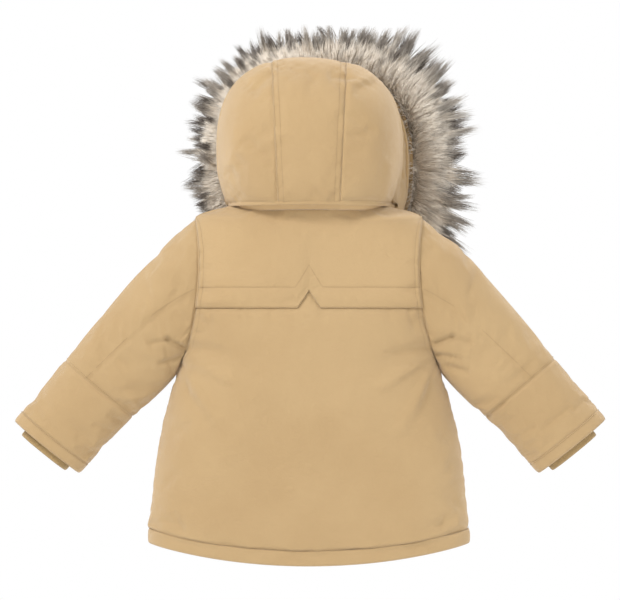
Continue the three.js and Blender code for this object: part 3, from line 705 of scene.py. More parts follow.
def fur_look(name):
    """Long pile: cream through its length, with darker roots, and dark brown tips on its longest locks."""
    look = Look(name, roughness=0.7, specular_ior_level=0.1)
    along = look.value("ShaderNodeAttribute", {"attribute_name": "along"}, out="Fac")
    tone = look.value("ShaderNodeAttribute", {"attribute_name": "tone"}, out="Fac")
    lock = look.value("ShaderNodeAttribute", {"attribute_name": "lock"}, out="Fac")
    shades = (0, (200, 184, 164)), (0.25, (238, 227, 212)), (0.6, (250, 243, 232)), (1, (244, 234, 220))
    stops = [(place, tint(*shade, light=1.05)) for place, shade in shades]
    pile = look.value("ShaderNodeValToRGB", {"stops": stops}, {0: along})
    warm = look.mix(tone * 0.35, pile, (*tint(214, 196, 174, light=1.05), 1))
    tip = along.step(0.42, 0.74) * lock
    look.feed("Base Color", look.mix(tip, warm, (*tint(50, 30, 24), 1)))
    look.feed("Roughness", 0.55 + tone * 0.2)
    return look.material


def pelt_painted_shade_look(name):
    """The pile's own ground, seen only between the strands. Its tones are kept darker than the pile's as
    painted shade, standing in for the shade deep among the strands.
    """
    look = Look(name, roughness=0.9, sheen_weight=0.3)
    mottle = look.noise(90, 4)
    # painted shade: both tones sit below the cream pile to stand for the shade deep among the strands; only
    # the mottle between them is random
    dark, light = (*tint(206, 190, 170), 1), (*tint(226, 212, 194), 1)
    look.feed("Base Color", look.mix(mottle.step(0.3, 0.7), dark, light))
    look.bump(look.noise(260, 4), 0.8, 0.002)
    return look.material


CLOTH = woven_look("tan_cloth", tint(228, 193, 142), tint(218, 182, 131))
CUFF = woven_look("cuff_cloth", tint(216, 182, 128), tint(202, 168, 114))
LINING = lining_look("lining_cloth", tint(196, 168, 126), tint(182, 152, 110))
TAPE = tape_look("woven_tape", tint(160, 134, 94), tint(126, 102, 66))
RUFF_TAPE = tape_look("tan_tape", tint(208, 176, 128), tint(190, 158, 112), 0.0016)
BRASS = brass_look("aged_brass")
THREAD = thread_look("tan_thread", (190, 156, 108))
FUR = fur_look("long_pile")
# the pile's ground, coloured as painted shade between the strands
PELT_PAINTED_SHADE = pelt_painted_shade_look("pile_ground_painted_shade")


# ---- Small parts that repeat, set out by Geometry Nodes ----
class Tree:
    """A Geometry Nodes tree with named inputs."""

    def __init__(self, name, **inputs):
        self.tree = bpy.data.node_groups.new(name, "GeometryNodeTree")
        self.tree.interface.new_socket("Geometry", in_out="INPUT", socket_type="NodeSocketGeometry")
        self.sockets = {}
        for key, kind in inputs.items():
            socket = self.tree.interface.new_socket(key, in_out="INPUT", socket_type="NodeSocket" + kind)
            self.sockets[key] = socket.identifier
        self.tree.interface.new_socket("Geometry", in_out="OUTPUT", socket_type="NodeSocketGeometry")
        self.given = self.tree.nodes.new("NodeGroupInput")

    def add(self, kind, settings=None, **inputs):
        made = self.tree.nodes.new(kind)
        for key, setting in (settings or {}).items():
            setattr(made, key, setting)
        for key, entry in inputs.items():
            socket = made.inputs[key.replace("_", " ")]
            if isinstance(entry, bpy.types.NodeSocket):
                self.tree.links.new(entry, socket)
            else:
                socket.default_value = entry
        return made.outputs[0]

    def attribute(self, name, kind="FLOAT_VECTOR"):
        return self.add("GeometryNodeInputNamedAttribute", {"data_type": kind}, Name=name)

    def end(self, geometry):
        result = self.tree.nodes.new("NodeGroupOutput")
        self.tree.links.new(geometry, result.inputs[0])
        return self

    def apply(self, obj, **values):
        """Runs the tree on an object and keeps the result as its plain mesh."""
        grown = obj.modifiers.new("set_out", "NODES")
        grown.node_group = self.tree
        for key, entry in values.items():
            grown[self.sockets[key]] = entry
        obj.data.update()
        return plain_mesh(obj)


def set_out_tree(name, curled):
    """Stands a copy of the pattern on each point, facing along "facing".

    Small parts have a size, and run along "run". Strands have a thickness, are "reach" long, and bend at
    their far ends by "curl".
    """
    sizes = {"Thickness": "Float"} if curled else {"Size": "Vector"}
    tree = Tree(name, Pattern="Object", **sizes, Material="Material")
    given = tree.given.outputs
    pattern = tree.tree.nodes.new("GeometryNodeObjectInfo")
    tree.tree.links.new(given["Pattern"], pattern.inputs["Object"])
    points = tree.add("GeometryNodeMeshToPoints", Mesh=given["Geometry"])
    stand = tree.add("FunctionNodeAlignRotationToVector", {"axis": "Z"}, Vector=tree.attribute("facing"))
    if curled:
        thick, reach = given["Thickness"], tree.attribute("reach", "FLOAT")
        size = tree.add("ShaderNodeCombineXYZ", X=thick, Y=thick, Z=reach)
    else:
        turned, run = {"axis": "X", "pivot_axis": "Z"}, tree.attribute("run")
        stand = tree.add("FunctionNodeAlignRotationToVector", turned, Rotation=stand, Vector=run)
        size = given["Size"]
    placing = {"Points": points, "Instance": pattern.outputs["Geometry"], "Rotation": stand, "Scale": size}
    copies = tree.add("GeometryNodeInstanceOnPoints", **placing)
    made = tree.add("GeometryNodeRealizeInstances", Geometry=copies)
    if curled:
        made = tree.add("GeometryNodeSetPosition", Geometry=made, Offset=curl_offset(tree))
    return tree.end(tree.add("GeometryNodeSetMaterial", Geometry=made, Material=given["Material"]))


def curl_offset(tree):
    """How far a strand's curl moves each of its points: more, the further along the strand it is."""
    square = tree.tree.nodes.new("ShaderNodeMath")
    square.operation = "POWER"
    square.inputs[1].default_value = CURL_POWER
    tree.tree.links.new(tree.attribute("along", "FLOAT"), square.inputs[0])
    bend = tree.tree.nodes.new("ShaderNodeVectorMath")
    bend.operation = "SCALE"
    tree.tree.links.new(tree.attribute("curl"), bend.inputs[0])
    tree.tree.links.new(square.outputs[0], bend.inputs["Scale"])
    return bend.outputs[0]


CURL_POWER = 1.8
SETTING_OUT = set_out_tree("set_out_small_parts", curled=False)
PILE = set_out_tree("pile", curled=True)


def seeds(name, points, **attributes):
    """A cloud of points with an attribute each, in the row frame."""
    mesh = bpy.data.meshes.new(name)
    mesh.from_pydata(placed(points).tolist(), [], [])
    for key, entry in attributes.items():
        entry = np.asarray(entry, np.float32)
        kind, field = ("FLOAT_VECTOR", "vector") if entry.ndim == 2 else ("FLOAT", "value")
        mesh.attributes.new(key, kind, "POINT").data.foreach_set(field, entry.ravel())
    return in_scene(name, mesh)


def lathe(name, profile, count=16):
    """A pattern turned about Z from (radius, height) points, closed at the axis."""
    bm = bmesh.new()
    rings = []
    for radius, height in profile:
        turns = [2 * math.pi * k / count for k in range(count)] if radius else [0]
        rings.append([bm.verts.new((radius * math.cos(t), radius * math.sin(t), height)) for t in turns])
    for low, high in zip(rings, rings[1:]):
        for k in range(count):
            ring = [low[k % len(low)], low[(k + 1) % len(low)]]
            ring += [high[(k + 1) % len(high)], high[k % len(high)]]
            bm.faces.new(list(dict.fromkeys(ring)))
    bmesh.ops.recalc_face_normals(bm, faces=bm.faces)
    for face in bm.faces:
        face.smooth = True
    return bpy.data.objects.new(name, built(bm, name))


def box_pattern(name):
    """A small block with softened edges, for the zip's teeth."""
    bm = bmesh.new()
    bmesh.ops.create_cube(bm, size=2)
    bmesh.ops.bevel(bm, geom=bm.edges[:], offset=0.35, segments=1, affect="EDGES")
    return bpy.data.objects.new(name, built(bm, name))


CAP_PROFILE = [(0, 2.4), (2.4, 2.5), (3.2, 2.15), (5.4, 2.1), (6.6, 1.6), (7, 0.7), (6.6, 0), (0, 0)]
STITCH = lathe("stitch_pattern", [(0, -1), (0.75, -0.5), (0.75, 0.5), (0, 1)], 5)
SNAP = lathe("snap_pattern", CAP_PROFILE, 24)
STRAND = lathe("strand_pattern", [(0.9, 0), (1, 0.3), (0.72, 0.68), (0, 1)], 3)
TOOTH = box_pattern("tooth_pattern")


def set_out(name, points, facing, run, pattern, size, material):
    """A row of small parts, as one mesh. Size is each part's scale."""
    obj = seeds(name, points, facing=facing, run=run)
    SETTING_OUT.apply(obj, Pattern=pattern, Size=size, Material=material)
    return obj


STITCH_SIZE = (0.00030, 0.00042, 0.00115)  # half a stitch's thickness, width and length, in metres


class Seams:
    """Gathers stitches by the body or bodies that they move with, so that each group becomes one piece."""

    def __init__(self):
        self.groups = {}

    def sew(self, group, cloth, u, v, lift=0, pitch=3.1):
        """A line of stitches over a cloth, along the points u and v."""
        path = cloth.at(u, v, lift)
        length = run_length(path)
        places = np.linspace(0, length[-1], max(2, round(length[-1] / pitch)))
        steps = np.arange(len(path))
        share = np.interp(places, length, steps)
        us, vs = np.interp(share, steps, u), np.interp(share, steps, v)
        points = cloth.at(us, vs, lift)
        line = points, cloth.normal_at(us, vs), np.gradient(points, axis=0)
        self.groups.setdefault(group, []).append(line)

    def lay(self, group, points, facing, pitch=3.1):
        """A line of stitches along points that aren't on a gridded cloth."""
        points = np.asarray(points, float)
        points = evenly(points, max(2, round(run_length(points)[-1] / pitch)))
        facing = np.broadcast_to(facing, points.shape)
        self.groups.setdefault(group, []).append((points, facing, np.gradient(points, axis=0)))

    def make(self, group, name):
        """The stitches of a group, as one piece."""
        points, facing, run = (np.concatenate(part) for part in zip(*self.groups.pop(group)))
        # the pattern's long axis is Z, so that it faces along the run and turns to the cloth
        stitches = set_out(name, points, run, facing, STITCH, STITCH_SIZE, THREAD)
        return stitches


SEWING = Seams()


# ---- The cloth: body, sleeves and hood, all settled together ----
def yoke_edge(x, rise=0, spread=1.0):
    """The height of the yoke's edge, with its pointed notch. Rise and spread give the line above it."""
    point = np.maximum(0, 1 - np.abs(x) / (NOTCH_HALF_WIDTH * spread))
    return YOKE_LEVEL + rise + NOTCH_HEIGHT * spread * point


BODY_ROWS = 68
LEVELS = np.linspace(NECK_LEVEL, HEM_LEVEL, BODY_ROWS)
SHARES = np.linspace(0, 1, 46)
TURNS = np.arange(72) / 72 * 2 * np.pi
ELBOW_SHARE = 0.63
BAND_SHARE = 1 - CUFF_BAND / SLEEVE_LENGTH
HOOD_REACH = 2.3  # radians from the hood's back that its cloth is worked over


def long_seam_turn(share):
    """Where the seam down the back of the sleeve lies."""
    return np.radians(lerp(93, 72.7, np.clip(share / ELBOW_SHARE, 0, 1) ** 0.8))


def ridge(points, start, end, width, height):
    """How far a fold from start to end, as (x, z), lifts the cloth."""
    start, end = np.array(start, float), np.array(end, float)
    run = end - start
    flat = points[..., [0, 2]] - start
    share = flat @ run / (run @ run)
    off = flat @ np.array([run[1], -run[0]]) / np.linalg.norm(run)
    ends = ease(share * 4 + 1) * ease((1 - share) * 4 + 1)
    return height * bump_at(off, width) * np.clip(ends, 0, 1)


def folded(points, folds):
    return sum(ridge(points, *fold) for fold in folds)


def back_cloth():
    points = body_grid(0, True, 61, LEVELS)
    folds = [
        ((182, -232), (120, -262), 8, 3.2),
        ((188, -250), (140, -320), 9, 2.6),
        ((-182, -232), (-112, -270), 8, 3.4),
        ((-190, -246), (-140, -330), 9, 2.8),
        ((-186, -214), (-120, -226), 7, -2.4),
        ((184, -214), (128, -222), 7, -2.2),
        ((90, -158), (70, -215), 9, -1.4),
        ((-120, -160), (-135, -220), 9, -1.6),
        ((-60, -300), (-150, -430), 26, 2.0),
        ((70, -280), (150, -420), 26, 1.8),
        ((0, -330), (10, -470), 30, 1.4),
    ]
    lift = folded(points, folds) + 1.1 * wavy(3, points[..., 0] / 90, points[..., 2] / 70)
    edge = np.ones(points.shape[:2], bool)
    edge[1:-1, 1:-1] = False
    level = LEVELS[:, None]
    edge |= (np.abs(level - yoke_edge(points[..., 0])) < 5) | (level <= BAND_LEVEL)
    lift = np.where(edge, 0, lift)
    return Cloth(points).face_from((0, 0, -250)).pushed(lift), edge


def front_cloth(side):
    points = mirrored(body_grid(0, False, 32, LEVELS), side)
    edge = np.ones(points.shape[:2], bool)
    edge[1:-1, 1:-1] = False
    edge |= LEVELS[:, None] <= BAND_LEVEL
    waves = wavy(5 if side == "left" else 6, points[..., 0] / 80, points[..., 2] / 60)
    lift = np.where(edge, 0, 1.2 * waves)
    return Cloth(points).face_from((0, 0, -250)).pushed(lift), edge


# small folds of the sleeves' backs, as (start, end, half width, height), where start and end are (x, z)
SLEEVE_FOLDS = {
    "left": [
        ((190, -214), (214, -202), 2.8, -5.0),
        ((212, -203), (238, -207), 3.4, -3.0),
        ((194, -229), (222, -238), 3.8, -3.2),
        ((262, -316), (286, -296), 4.5, -2.4),
        ((278, -330), (300, -318), 3.6, -2.2),
        ((262, -296), (330, -240), 7.0, 1.6),
        ((300, -340), (322, -332), 3.6, -1.8),
        ((330, -372), (348, -352), 4.5, -1.6),
        ((250, -262), (300, -226), 9.0, -1.5),
        ((236, -140), (262, -196), 10.0, 1.2),
        ((300, -205), (322, -246), 9.0, -1.1),
    ],
    "right": [
        ((190, -208), (216, -198), 2.8, -4.6),
        ((214, -199), (242, -206), 3.6, -2.6),
        ((196, -226), (226, -230), 3.4, -3.4),
        ((208, -242), (238, -250), 4.0, -2.4),
        ((268, -322), (292, -300), 4.5, -2.4),
        ((284, -338), (306, -322), 3.6, -2.0),
        ((254, -290), (322, -236), 7.0, 1.6),
        ((312, -352), (336, -336), 4.0, -1.8),
        ((228, -148), (256, -204), 10.0, 1.3),
        ((306, -214), (330, -256), 9.0, -1.1),
    ],
}


SLEEVE_FULLNESS = {"left": 4, "right": 8.5}  # how far the filling pushes out each sleeve's outer edge


def sleeve_cloth(side):
    turn, share = np.meshgrid(TURNS, SHARES)
    left = sleeve_points(turn, share, 0)
    lift = 0.5 * wavy(11 if side == "left" else 12, left[..., 0] / 60, left[..., 2] / 60, left[..., 1] / 50)
    seam = (np.abs(turn - long_seam_turn(share)) < 0.06) & (share < ELBOW_SHARE)
    edge = (share == 0) | (np.abs(share - ELBOW_SHARE) < 0.012) | (share >= BAND_SHARE) | seam
    lift = lift * ease(share * 14) * ease((BAND_SHARE - share) * 12)
    lift = lift + SLEEVE_FULLNESS[side] * ease(share * 7) * (0.5 + 0.5 * np.cos(turn)) ** 2
    cloth = Cloth(mirrored(left, side), closed=True)
    cloth.face_from(mirrored(np.array([289, 0, -247]), side))
    return cloth.pushed(lift), edge


def hood_direction(u, v):
    p, q = (2 * np.asarray(u) - 1) * HOOD_REACH, (1 - 2 * np.asarray(v)) * HOOD_REACH
    turn = np.hypot(p, q)
    grow = np.sinc(turn / np.pi)
    return np.stack([grow * p, np.cos(turn), grow * q], -1)


def hood_uv(direction):
    """Where on the hood's cloth a direction from the hood's middle meets it."""
    d = direction / np.linalg.norm(direction, axis=-1, keepdims=True)
    turn = np.arccos(np.clip(d[..., 1], -1, 1))
    grow = 1 / np.maximum(np.sinc(turn / np.pi), 1e-6)
    return (d[..., 0] * grow / HOOD_REACH + 1) / 2, (1 - d[..., 2] * grow / HOOD_REACH) / 2


def hood_cloth():
    across = np.linspace(0, 1, 73)
    u, v = np.meshgrid(across, across)
    points = hood_points(hood_direction(u, v), 0)
    x, y, z = (points[..., k] for k in range(3))
    seam = (np.abs(np.abs(x) - hood_seam(z)) < 4.5) & (y > -100)
    edge = seam | (y < RIM_DEPTH + 5) | (z < hood_edge(y) + 5)
    tall = ease((z - 15) / 50) * ease((215 - z) / 60)
    right, left = ease((-x - 70) / 40), ease((x - 80) / 40)
    right_crease = -13 * bump_at(y + 58, 13) + 4 * bump_at(y + 22, 12) - 5 * bump_at(y + 84, 9)
    left_crease = 3 * bump_at(y + 8, 9) - 5 * bump_at(y + 30, 12)
    lift = right_crease * right * tall + left_crease * left * tall
    folds = [
        ((-60, 190), (-34, 192), 6, -2.6),
        ((-58, 178), (-92, 190), 6, 3.0),
        ((58, 196), (84, 172), 7, -3.2),
        ((60, 204), (92, 190), 6, 2.6),
        ((44, 95), (72, 88), 6, 1.8),
        ((-50, 120), (-78, 112), 6, 1.6),
        ((-30, 14), (-12, 34), 7, 1.8),
        ((-112, 14), (-122, 60), 8, 2.6),
        ((104, 14), (116, 50), 7, -2.4),
    ]
    lift = lift + folded(points, folds) * (y > 0)
    lift = lift + 1.3 * wavy(21, x / 60, y / 60, z / 60) * ~seam
    lift = np.where((y < RIM_DEPTH + 2) | (z < hood_edge(y)), 0, lift)
    return Cloth(points).face_from((0, HOOD_MID_DEPTH, HOOD_LEVEL)).pushed(lift), edge


CUT_LARGE = 0.02  # how much larger each cloth is cut than the space it fills
PUFF = 1.4  # how hard the wadding pushes each cloth out


def settled_cloths():
    """Every cloth, cut a little too large and puffed by its wadding."""
    made = {"back": back_cloth(), "hood": hood_cloth()}
    for side in ("left", "right"):
        made[side + "_front"] = front_cloth(side)
        made[side + "_sleeve"] = sleeve_cloth(side)
    jobs = []
    for cloth, edge in made.values():
        rows, columns = cloth.points.shape[:2]
        faces = grid_faces(rows, columns, cloth.closed)
        if cloth.side < 0:
            faces = faces[:, ::-1]
        furthest = 4.5 if cloth.closed else 6  # millimetres that a point may move at most
        jobs.append((cloth.points.reshape(-1, 3), faces, edge.ravel(), CUT_LARGE, PUFF, furthest))
    for (cloth, _), moved in zip(made.values(), settle(jobs)):
        cloth.points = moved.reshape(cloth.points.shape)
    return {name: cloth for name, (cloth, _) in made.items()}


CLOTHS = settled_cloths()


# ---- The body ----
def v_of(level):
    """Where down the body's cloth a height lies."""
    return (NECK_LEVEL - level) / (NECK_LEVEL - HEM_LEVEL)


def row_length(cloth, v):
    return run_length(cloth.at(np.linspace(0, 1, 80), np.full(80, v)))[-1]


BACK = CLOTHS["back"]
BACK_WIDTH = row_length(BACK, v_of(YOKE_LEVEL))
YOKE_LIFT = 1.5
ARMHOLE_ROWS = (3, 10)  # the two rows of stitches beside each armhole
EDGE_STITCH = 2.2


def panel(name, cloth, u, v, body, replaced, **options):
    """A padded panel of the outer cloth, riding on a body."""
    obj = cloth.piece(name, u, v, CLOTH, **options)
    thicken(obj, SHELL, (0, 0, -250))
    shell(obj, 0.4, *replaced)
    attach(obj, body)
    return obj


BACK_FOLDS = [
    ((193, -240), (182, -280), 3.4, -2.2),
    ((187, -246), (150, -290), 4.5, -1.5),
    ((-193, -238), (-176, -284), 3.6, -2.4),
    ((-186, -232), (-140, -262), 4.0, -1.8),
    ((-150, -156), (-158, -186), 4.0, -1.6),
    ((-164, -158), (-178, -182), 3.6, -1.5),
    ((104, -156), (100, -172), 3.6, -1.4),
    ((150, -156), (146, -176), 4.0, -1.2),
    ((60, -156), (56, -168), 3.2, -1.0),
    ((204, -462), (190, -486), 3.6, -2.0),
    ((-206, -466), (-196, -486), 3.6, -1.8),
    ((-30, -300), (-50, -380), 8.0, -0.7),
    ((96, -262), (88, -330), 7.0, -0.7),
]


UPPER_RISE, UPPER_SPREAD = 31, 1.24  # the stitched line above the yoke's edge, and how wide its point is


def upper_line(x):
    """The height of the stitched line that follows the yoke's edge, above it."""
    return yoke_edge(x, UPPER_RISE, UPPER_SPREAD)


def back_u(x):
    """Where on a row of the back a distance from the middle lies, between the armholes."""
    return 0.5 + x / BACK_WIDTH


def make_back():
    notch = [BACK_WIDTH / 2 + k * NOTCH_HALF_WIDTH / 2 for k in range(-2, 3)]
    u = spaced(BACK_WIDTH, 3.4, [*ARMHOLE_ROWS, *(BACK_WIDTH - k for k in ARMHOLE_ROWS), *notch])
    x = (u - 0.5) * BACK_WIDTH
    tall = NECK_LEVEL - YOKE_LEVEL
    rows = spaced(tall, 3.4, [tall - EDGE_STITCH, tall - UPPER_RISE])[:, None]
    v = rows * v_of(yoke_edge(x))[None]
    edge = 1 - ease((tall * (1 - rows)) / 1.6)
    upper = bump_at((v - v_of(upper_line(x))) * (NECK_LEVEL - HEM_LEVEL), 1.6)
    side = np.minimum(u, 1 - u) * BACK_WIDTH
    groove = sum(bump_at(side - k, 1.3) for k in ARMHOLE_ROWS)[None]
    lift = YOKE_LIFT + 0.9 - 1.6 * edge - 0.55 * upper - 0.6 * groove
    dips = (1.5, 1.5, 0, 0)
    panel("back_yoke_cloth", BACK, u[None] + 0 * rows, v, "body", ["back_yoke"], lift=lift, dips=dips)

    length = YOKE_LEVEL + NOTCH_HEIGHT + 8 - BAND_LEVEL
    start = v_of(YOKE_LEVEL + NOTCH_HEIGHT + 8)
    rows = start + (v_of(BAND_LEVEL) - start) * spaced(length, 3.6, [NOTCH_HEIGHT + 8, length - 3])[:, None]
    u = spaced(BACK_WIDTH * 1.15, 3.6, [3, BACK_WIDTH * 1.15 - 3])[None]
    # below the yoke's edge the panel tucks in under it
    x = (u - 0.5) * BACK_WIDTH
    below = (v_of(yoke_edge(x)) - rows) * (NECK_LEVEL - HEM_LEVEL)
    tuck = -1.1 * ease((below + 10) / 10) + folded(BACK.at(u + 0 * rows, rows + 0 * u), BACK_FOLDS)
    pucker = pucker_near(u * BACK_WIDTH * 1.15, (v_of(BAND_LEVEL) - rows) * (NECK_LEVEL - HEM_LEVEL), 31)
    replaced = ["back_panel", "body_wadding"]
    lift, dips = tuck + pucker, (1.6, 1.6, 0, 1.8)
    panel("back_panel_cloth", BACK, u + 0 * rows, rows, "body", replaced, lift=lift, dips=dips)

    line = np.linspace(back_u(-BACK_WIDTH / 2 + 3), back_u(BACK_WIDTH / 2 - 3), 400)
    x = (line - 0.5) * BACK_WIDTH
    height = YOKE_LIFT + 0.8
    SEWING.sew("body", BACK, line, v_of(upper_line(x)), height)
    SEWING.sew("body", BACK, line, v_of(yoke_edge(x) + EDGE_STITCH), height)
    for row in ARMHOLE_ROWS:
        for end in (row / BACK_WIDTH, 1 - row / BACK_WIDTH):
            down = np.linspace(v_of(SHOULDER_LEVEL + 6), v_of(YOKE_LEVEL + 3), 60)
            SEWING.sew("body", BACK, np.full(60, end), down, height - 0.4)
            down = np.linspace(v_of(YOKE_LEVEL - 2), v_of(ARMPIT_LEVEL + 4), 40)
            SEWING.sew("body", BACK, np.full(40, end), down)


def pucker_near(across, distance, seed):
    """Small gathers beside a stitched line, fading with distance from it."""
    wave = wavy(seed, across / 9, across / 23, octaves=2)
    return 2.2 * wave * bump_at(distance, 10) * ease(distance / 3)


def make_fronts():
    for side in ("left", "right"):
        cloth = CLOTHS[side + "_front"]
        width = row_length(cloth, v_of(-300))
        u = spaced(width, 3.8, [3])[None]
        length = NECK_LEVEL - BAND_LEVEL
        rows = v_of(BAND_LEVEL) * spaced(length, 3.8, [length - 3])[:, None]
        distance = (v_of(BAND_LEVEL) - rows) * (NECK_LEVEL - HEM_LEVEL)
        pucker = pucker_near(u * width, distance, 41 if side == "left" else 42)
        name = side + "_front_panel"
        dips = (1.2, 1.6, 0, 1.8)
        panel(name + "_cloth", cloth, u + 0 * rows, rows, "body", [name], lift=pucker, dips=dips)
        down = np.linspace(v_of(SHOULDER_LEVEL + 6), v_of(ARMPIT_LEVEL + 4), 80)
        for row in ARMHOLE_ROWS:
            SEWING.sew("body", cloth, np.full(80, 1 - row / width), down)


def make_hem():
    """The hem band: one strip from front edge to front edge, round the back."""
    down = spaced(HEM_BAND, 2.2)[:, None]
    v = lerp(v_of(BAND_LEVEL), 1.0, down)
    strips = []
    for cloth, flip in ((CLOTHS["right_front"], False), (BACK, False), (CLOTHS["left_front"], True)):
        u = np.linspace(0, 1, 56 if cloth is not BACK else 150)[None]
        if flip:
            u = u[:, ::-1]
        strips.append((cloth, u, u * 250))
    roll = 1.6 * bowl(2 * down - 1, 2.4) - 1.3
    grids = []
    for number, (cloth, u, along) in enumerate(strips):
        gather = 1.5 * wavy(51 + number, along / 7, along / 19, octaves=2)
        gather = gather * (1 - 0.7 * down) * ease(down * 6)
        part = cloth.at(u + 0 * v, v + 0 * u, roll + gather)
        grids.append(part if number == 0 else part[:, 1:])
    points = np.concatenate(grids, 1)
    rows, columns = points.shape[:2]
    uv = np.stack(np.meshgrid(run_length(points[rows // 2]), down.ravel() * HEM_BAND), -1).reshape(-1, 2)
    obj = piece("hem_band_cloth", points.reshape(-1, 3), grid_faces(rows, columns), CLOTH, uv)
    thicken(obj, 7.5, (0, 0, -500))
    shell(obj, 0.5, "hem_band")
    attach(obj, "body")
    for cloth, u, _ in strips:
        line = u.ravel()[1:-1]
        SEWING.sew("body", cloth, line, np.full(len(line), v_of(BAND_LEVEL + 1.2)), 0.1)


def make_body_lining():
    levels = np.linspace(14, -497, 80)
    depth = 9.4
    left = body_grid(depth, False, 34, levels)
    right = mirrored(left, "right")
    back = body_grid(depth, True, 80, levels)
    points = np.concatenate([right, back[:, 1:], left[:, ::-1][:, 1:]], 1)
    rows, columns = points.shape[:2]
    cloth = Cloth(points).face_from((0, 0, -250))
    points = cloth.pushed(0.9 * wavy(61, points[..., 0] / 40, points[..., 2] / 40) - 0.4).points
    obj = piece("body_lining_cloth", points.reshape(-1, 3), grid_faces(rows, columns), LINING)
    faces_out(obj, (0, 0, -250))
    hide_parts("body_lining")
    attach(obj, "body")


# ---- The sleeves ----
SHOULDER_BEND = (0.0, 0.36)  # the stretches of a sleeve about its joints, as shares of its length; nothing is bent by them
ELBOW_BEND = (0.6, 0.73)


def make_sleeve(side):
    cloth = CLOTHS[side + "_sleeve"]
    arm, lower = side + "_arm", side + "_lower_arm"
    u = np.linspace(0, 1, 150, endpoint=False)[None]

    def under_body(ring):
        """A ring a little further in, so that the sleeve starts under the body's edge."""
        middle = mirrored(np.array([SLEEVE_START[0], 0, SLEEVE_START[1]]), side)
        return ring + unit(middle - ring) * 2.2 + mirrored(np.array([-6.0, 0, 0]), side)

    def part(name, start, end, replaced, dips, wall=SHELL, extra=0, tuck=None):
        length = (end - start) * SLEEVE_LENGTH
        v = lerp(start, end, spaced(length, 3.2, [3, length - 3] if length > 30 else []))[:, None]
        long_seam = (u * 2 * np.pi - long_seam_turn(v)) * 60
        groove = -1.2 * bump_at(long_seam, SEAM_WIDTH) * ease((ELBOW_SHARE - v) * 40)
        near = (v - start) * SLEEVE_LENGTH
        far = (end - v) * SLEEVE_LENGTH
        gather = 0.8 * wavy(71, np.cos(u * 2 * np.pi) * 9, np.sin(u * 2 * np.pi) * 9, octaves=2)
        gather = gather * (bump_at(near, 8) + bump_at(far, 8))
        flat = mirrored(cloth.at(u + 0 * v, v + 0 * u), side)
        crumple = folded(flat, SLEEVE_FOLDS[side]) * ease(flat[..., 1] / 12)
        lift = groove + gather + crumple + extra
        obj = cloth.piece(name, u + 0 * v, v + 0 * u, CLOTH, lift, True, (0, 0, *dips), tuck)
        middle = cloth.at(np.array([0.25, 0.75]), np.full(2, (start + end) / 2)).mean(0)
        thicken(obj, wall, middle)
        shell(obj, 0.45, *replaced)
        return obj

    def at(share):
        """The middle of the sleeve at a share of its length, in the row frame."""
        middle = sleeve_points(np.array(0.0), share, 1e9, half=1e9, thick=1e9)
        return placed(mirrored(middle, side)).tolist()

    names = [f"{side}_{n}" for n in ("sleeve_head", "upper_sleeve", "elbow")]
    upper = part(f"{side}_upper_sleeve_cloth", 0.0, ELBOW_SHARE, names, (0.9, 1.1), tuck=under_body)
    at(SHOULDER_BEND[0])
    at(SHOULDER_BEND[1])
    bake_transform(upper)
    fore = part(f"{side}_forearm_cloth", ELBOW_SHARE, BAND_SHARE, [f"{side}_forearm"], (1.1, 0.8))
    at(ELBOW_BEND[0])
    at(ELBOW_BEND[1])
    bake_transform(fore)
    band = part(f"{side}_cuff_band_cloth", BAND_SHARE, 1.0, [f"{side}_cuff_band"], (0.8, 1.4), 6.5, 0.3)
    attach(band, lower)

    def lining(name, start, end, replaced):
        v, turn = np.meshgrid(np.linspace(start, end, 40), np.arange(64) / 64 * 2 * np.pi, indexing="ij")
        depth = 7.0 + 0.5 * np.sin(turn * 7) * np.sin(v * 60)
        points = mirrored(sleeve_points(turn, v, depth), side)
        obj = piece(name, points.reshape(-1, 3), grid_faces(40, 64, True), LINING)
        faces_out(obj, points.mean((0, 1)))
        ring = np.linalg.norm(np.roll(points, -1, 1) - points, axis=-1).sum(1).max()
        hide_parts(replaced)
        return obj

    inner = lining(f"{side}_upper_lining_cloth", 0.03, ELBOW_SHARE, f"{side}_upper_lining")
    at(SHOULDER_BEND[0])
    at(SHOULDER_BEND[1])
    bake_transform(inner)
    inner = lining(f"{side}_forearm_lining_cloth", ELBOW_SHARE, 0.995, f"{side}_forearm_lining")
    at(ELBOW_BEND[0])
    at(ELBOW_BEND[1])
    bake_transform(inner)
    make_inner_cuff(side)

    long = np.linspace(0.02, ELBOW_SHARE - 0.008, 60)
    turned = long_seam_turn(long) / (2 * np.pi)
    SEWING.sew(side + "_upper", cloth, turned - 0.011, long, 0.1)
    ring = np.linspace(0, 1, 120)
    SEWING.sew(side + "_upper", cloth, ring, np.full(120, ELBOW_SHARE - 0.009), 0.0)
    SEWING.sew(side + "_band", cloth, ring, np.full(120, BAND_SHARE + 0.006), 0.4)
    stitches = SEWING.make(side + "_upper", side + "_sleeve_stitches")
    at(SHOULDER_BEND[0])
    at(SHOULDER_BEND[1])
    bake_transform(stitches)
    stitches = SEWING.make(side + "_band", side + "_cuff_stitches")
    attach(stitches, lower)


def make_inner_cuff(side):
    """The inner cuff of gathered cloth inside the sleeve's end, one closed ring with rolled ends."""
    start, end = 1 - 34 / SLEEVE_LENGTH, 1 + 10 / SLEEVE_LENGTH
    turn = np.arange(160) / 160 * 2 * np.pi
    shares = lerp(start, end, spaced(44, 2.2))
    half, thick = CUFF_HALF_WIDTH - 19, CUFF_HALF_DEPTH - 11
    outer = [sleeve_points(turn, s, -0.35 * np.cos(turn * 40), half, thick) for s in shares]
    inner = [sleeve_points(turn, s, 2.2, half, thick) for s in reversed(shares)]
    outer[-1] = sleeve_points(turn, end + 0.001, 0.6, half, thick)
    rings = mirrored(np.stack(outer + inner), side)
    obj = swept(side + "_inner_cuff_knit", rings, CUFF, looped=True)
    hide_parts(side + "_inner_cuff")
    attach(obj, side + "_lower_arm")


# ---- The hood ----
HOOD = CLOTHS["hood"]


def bend_with_hood(obj):
    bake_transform(obj)


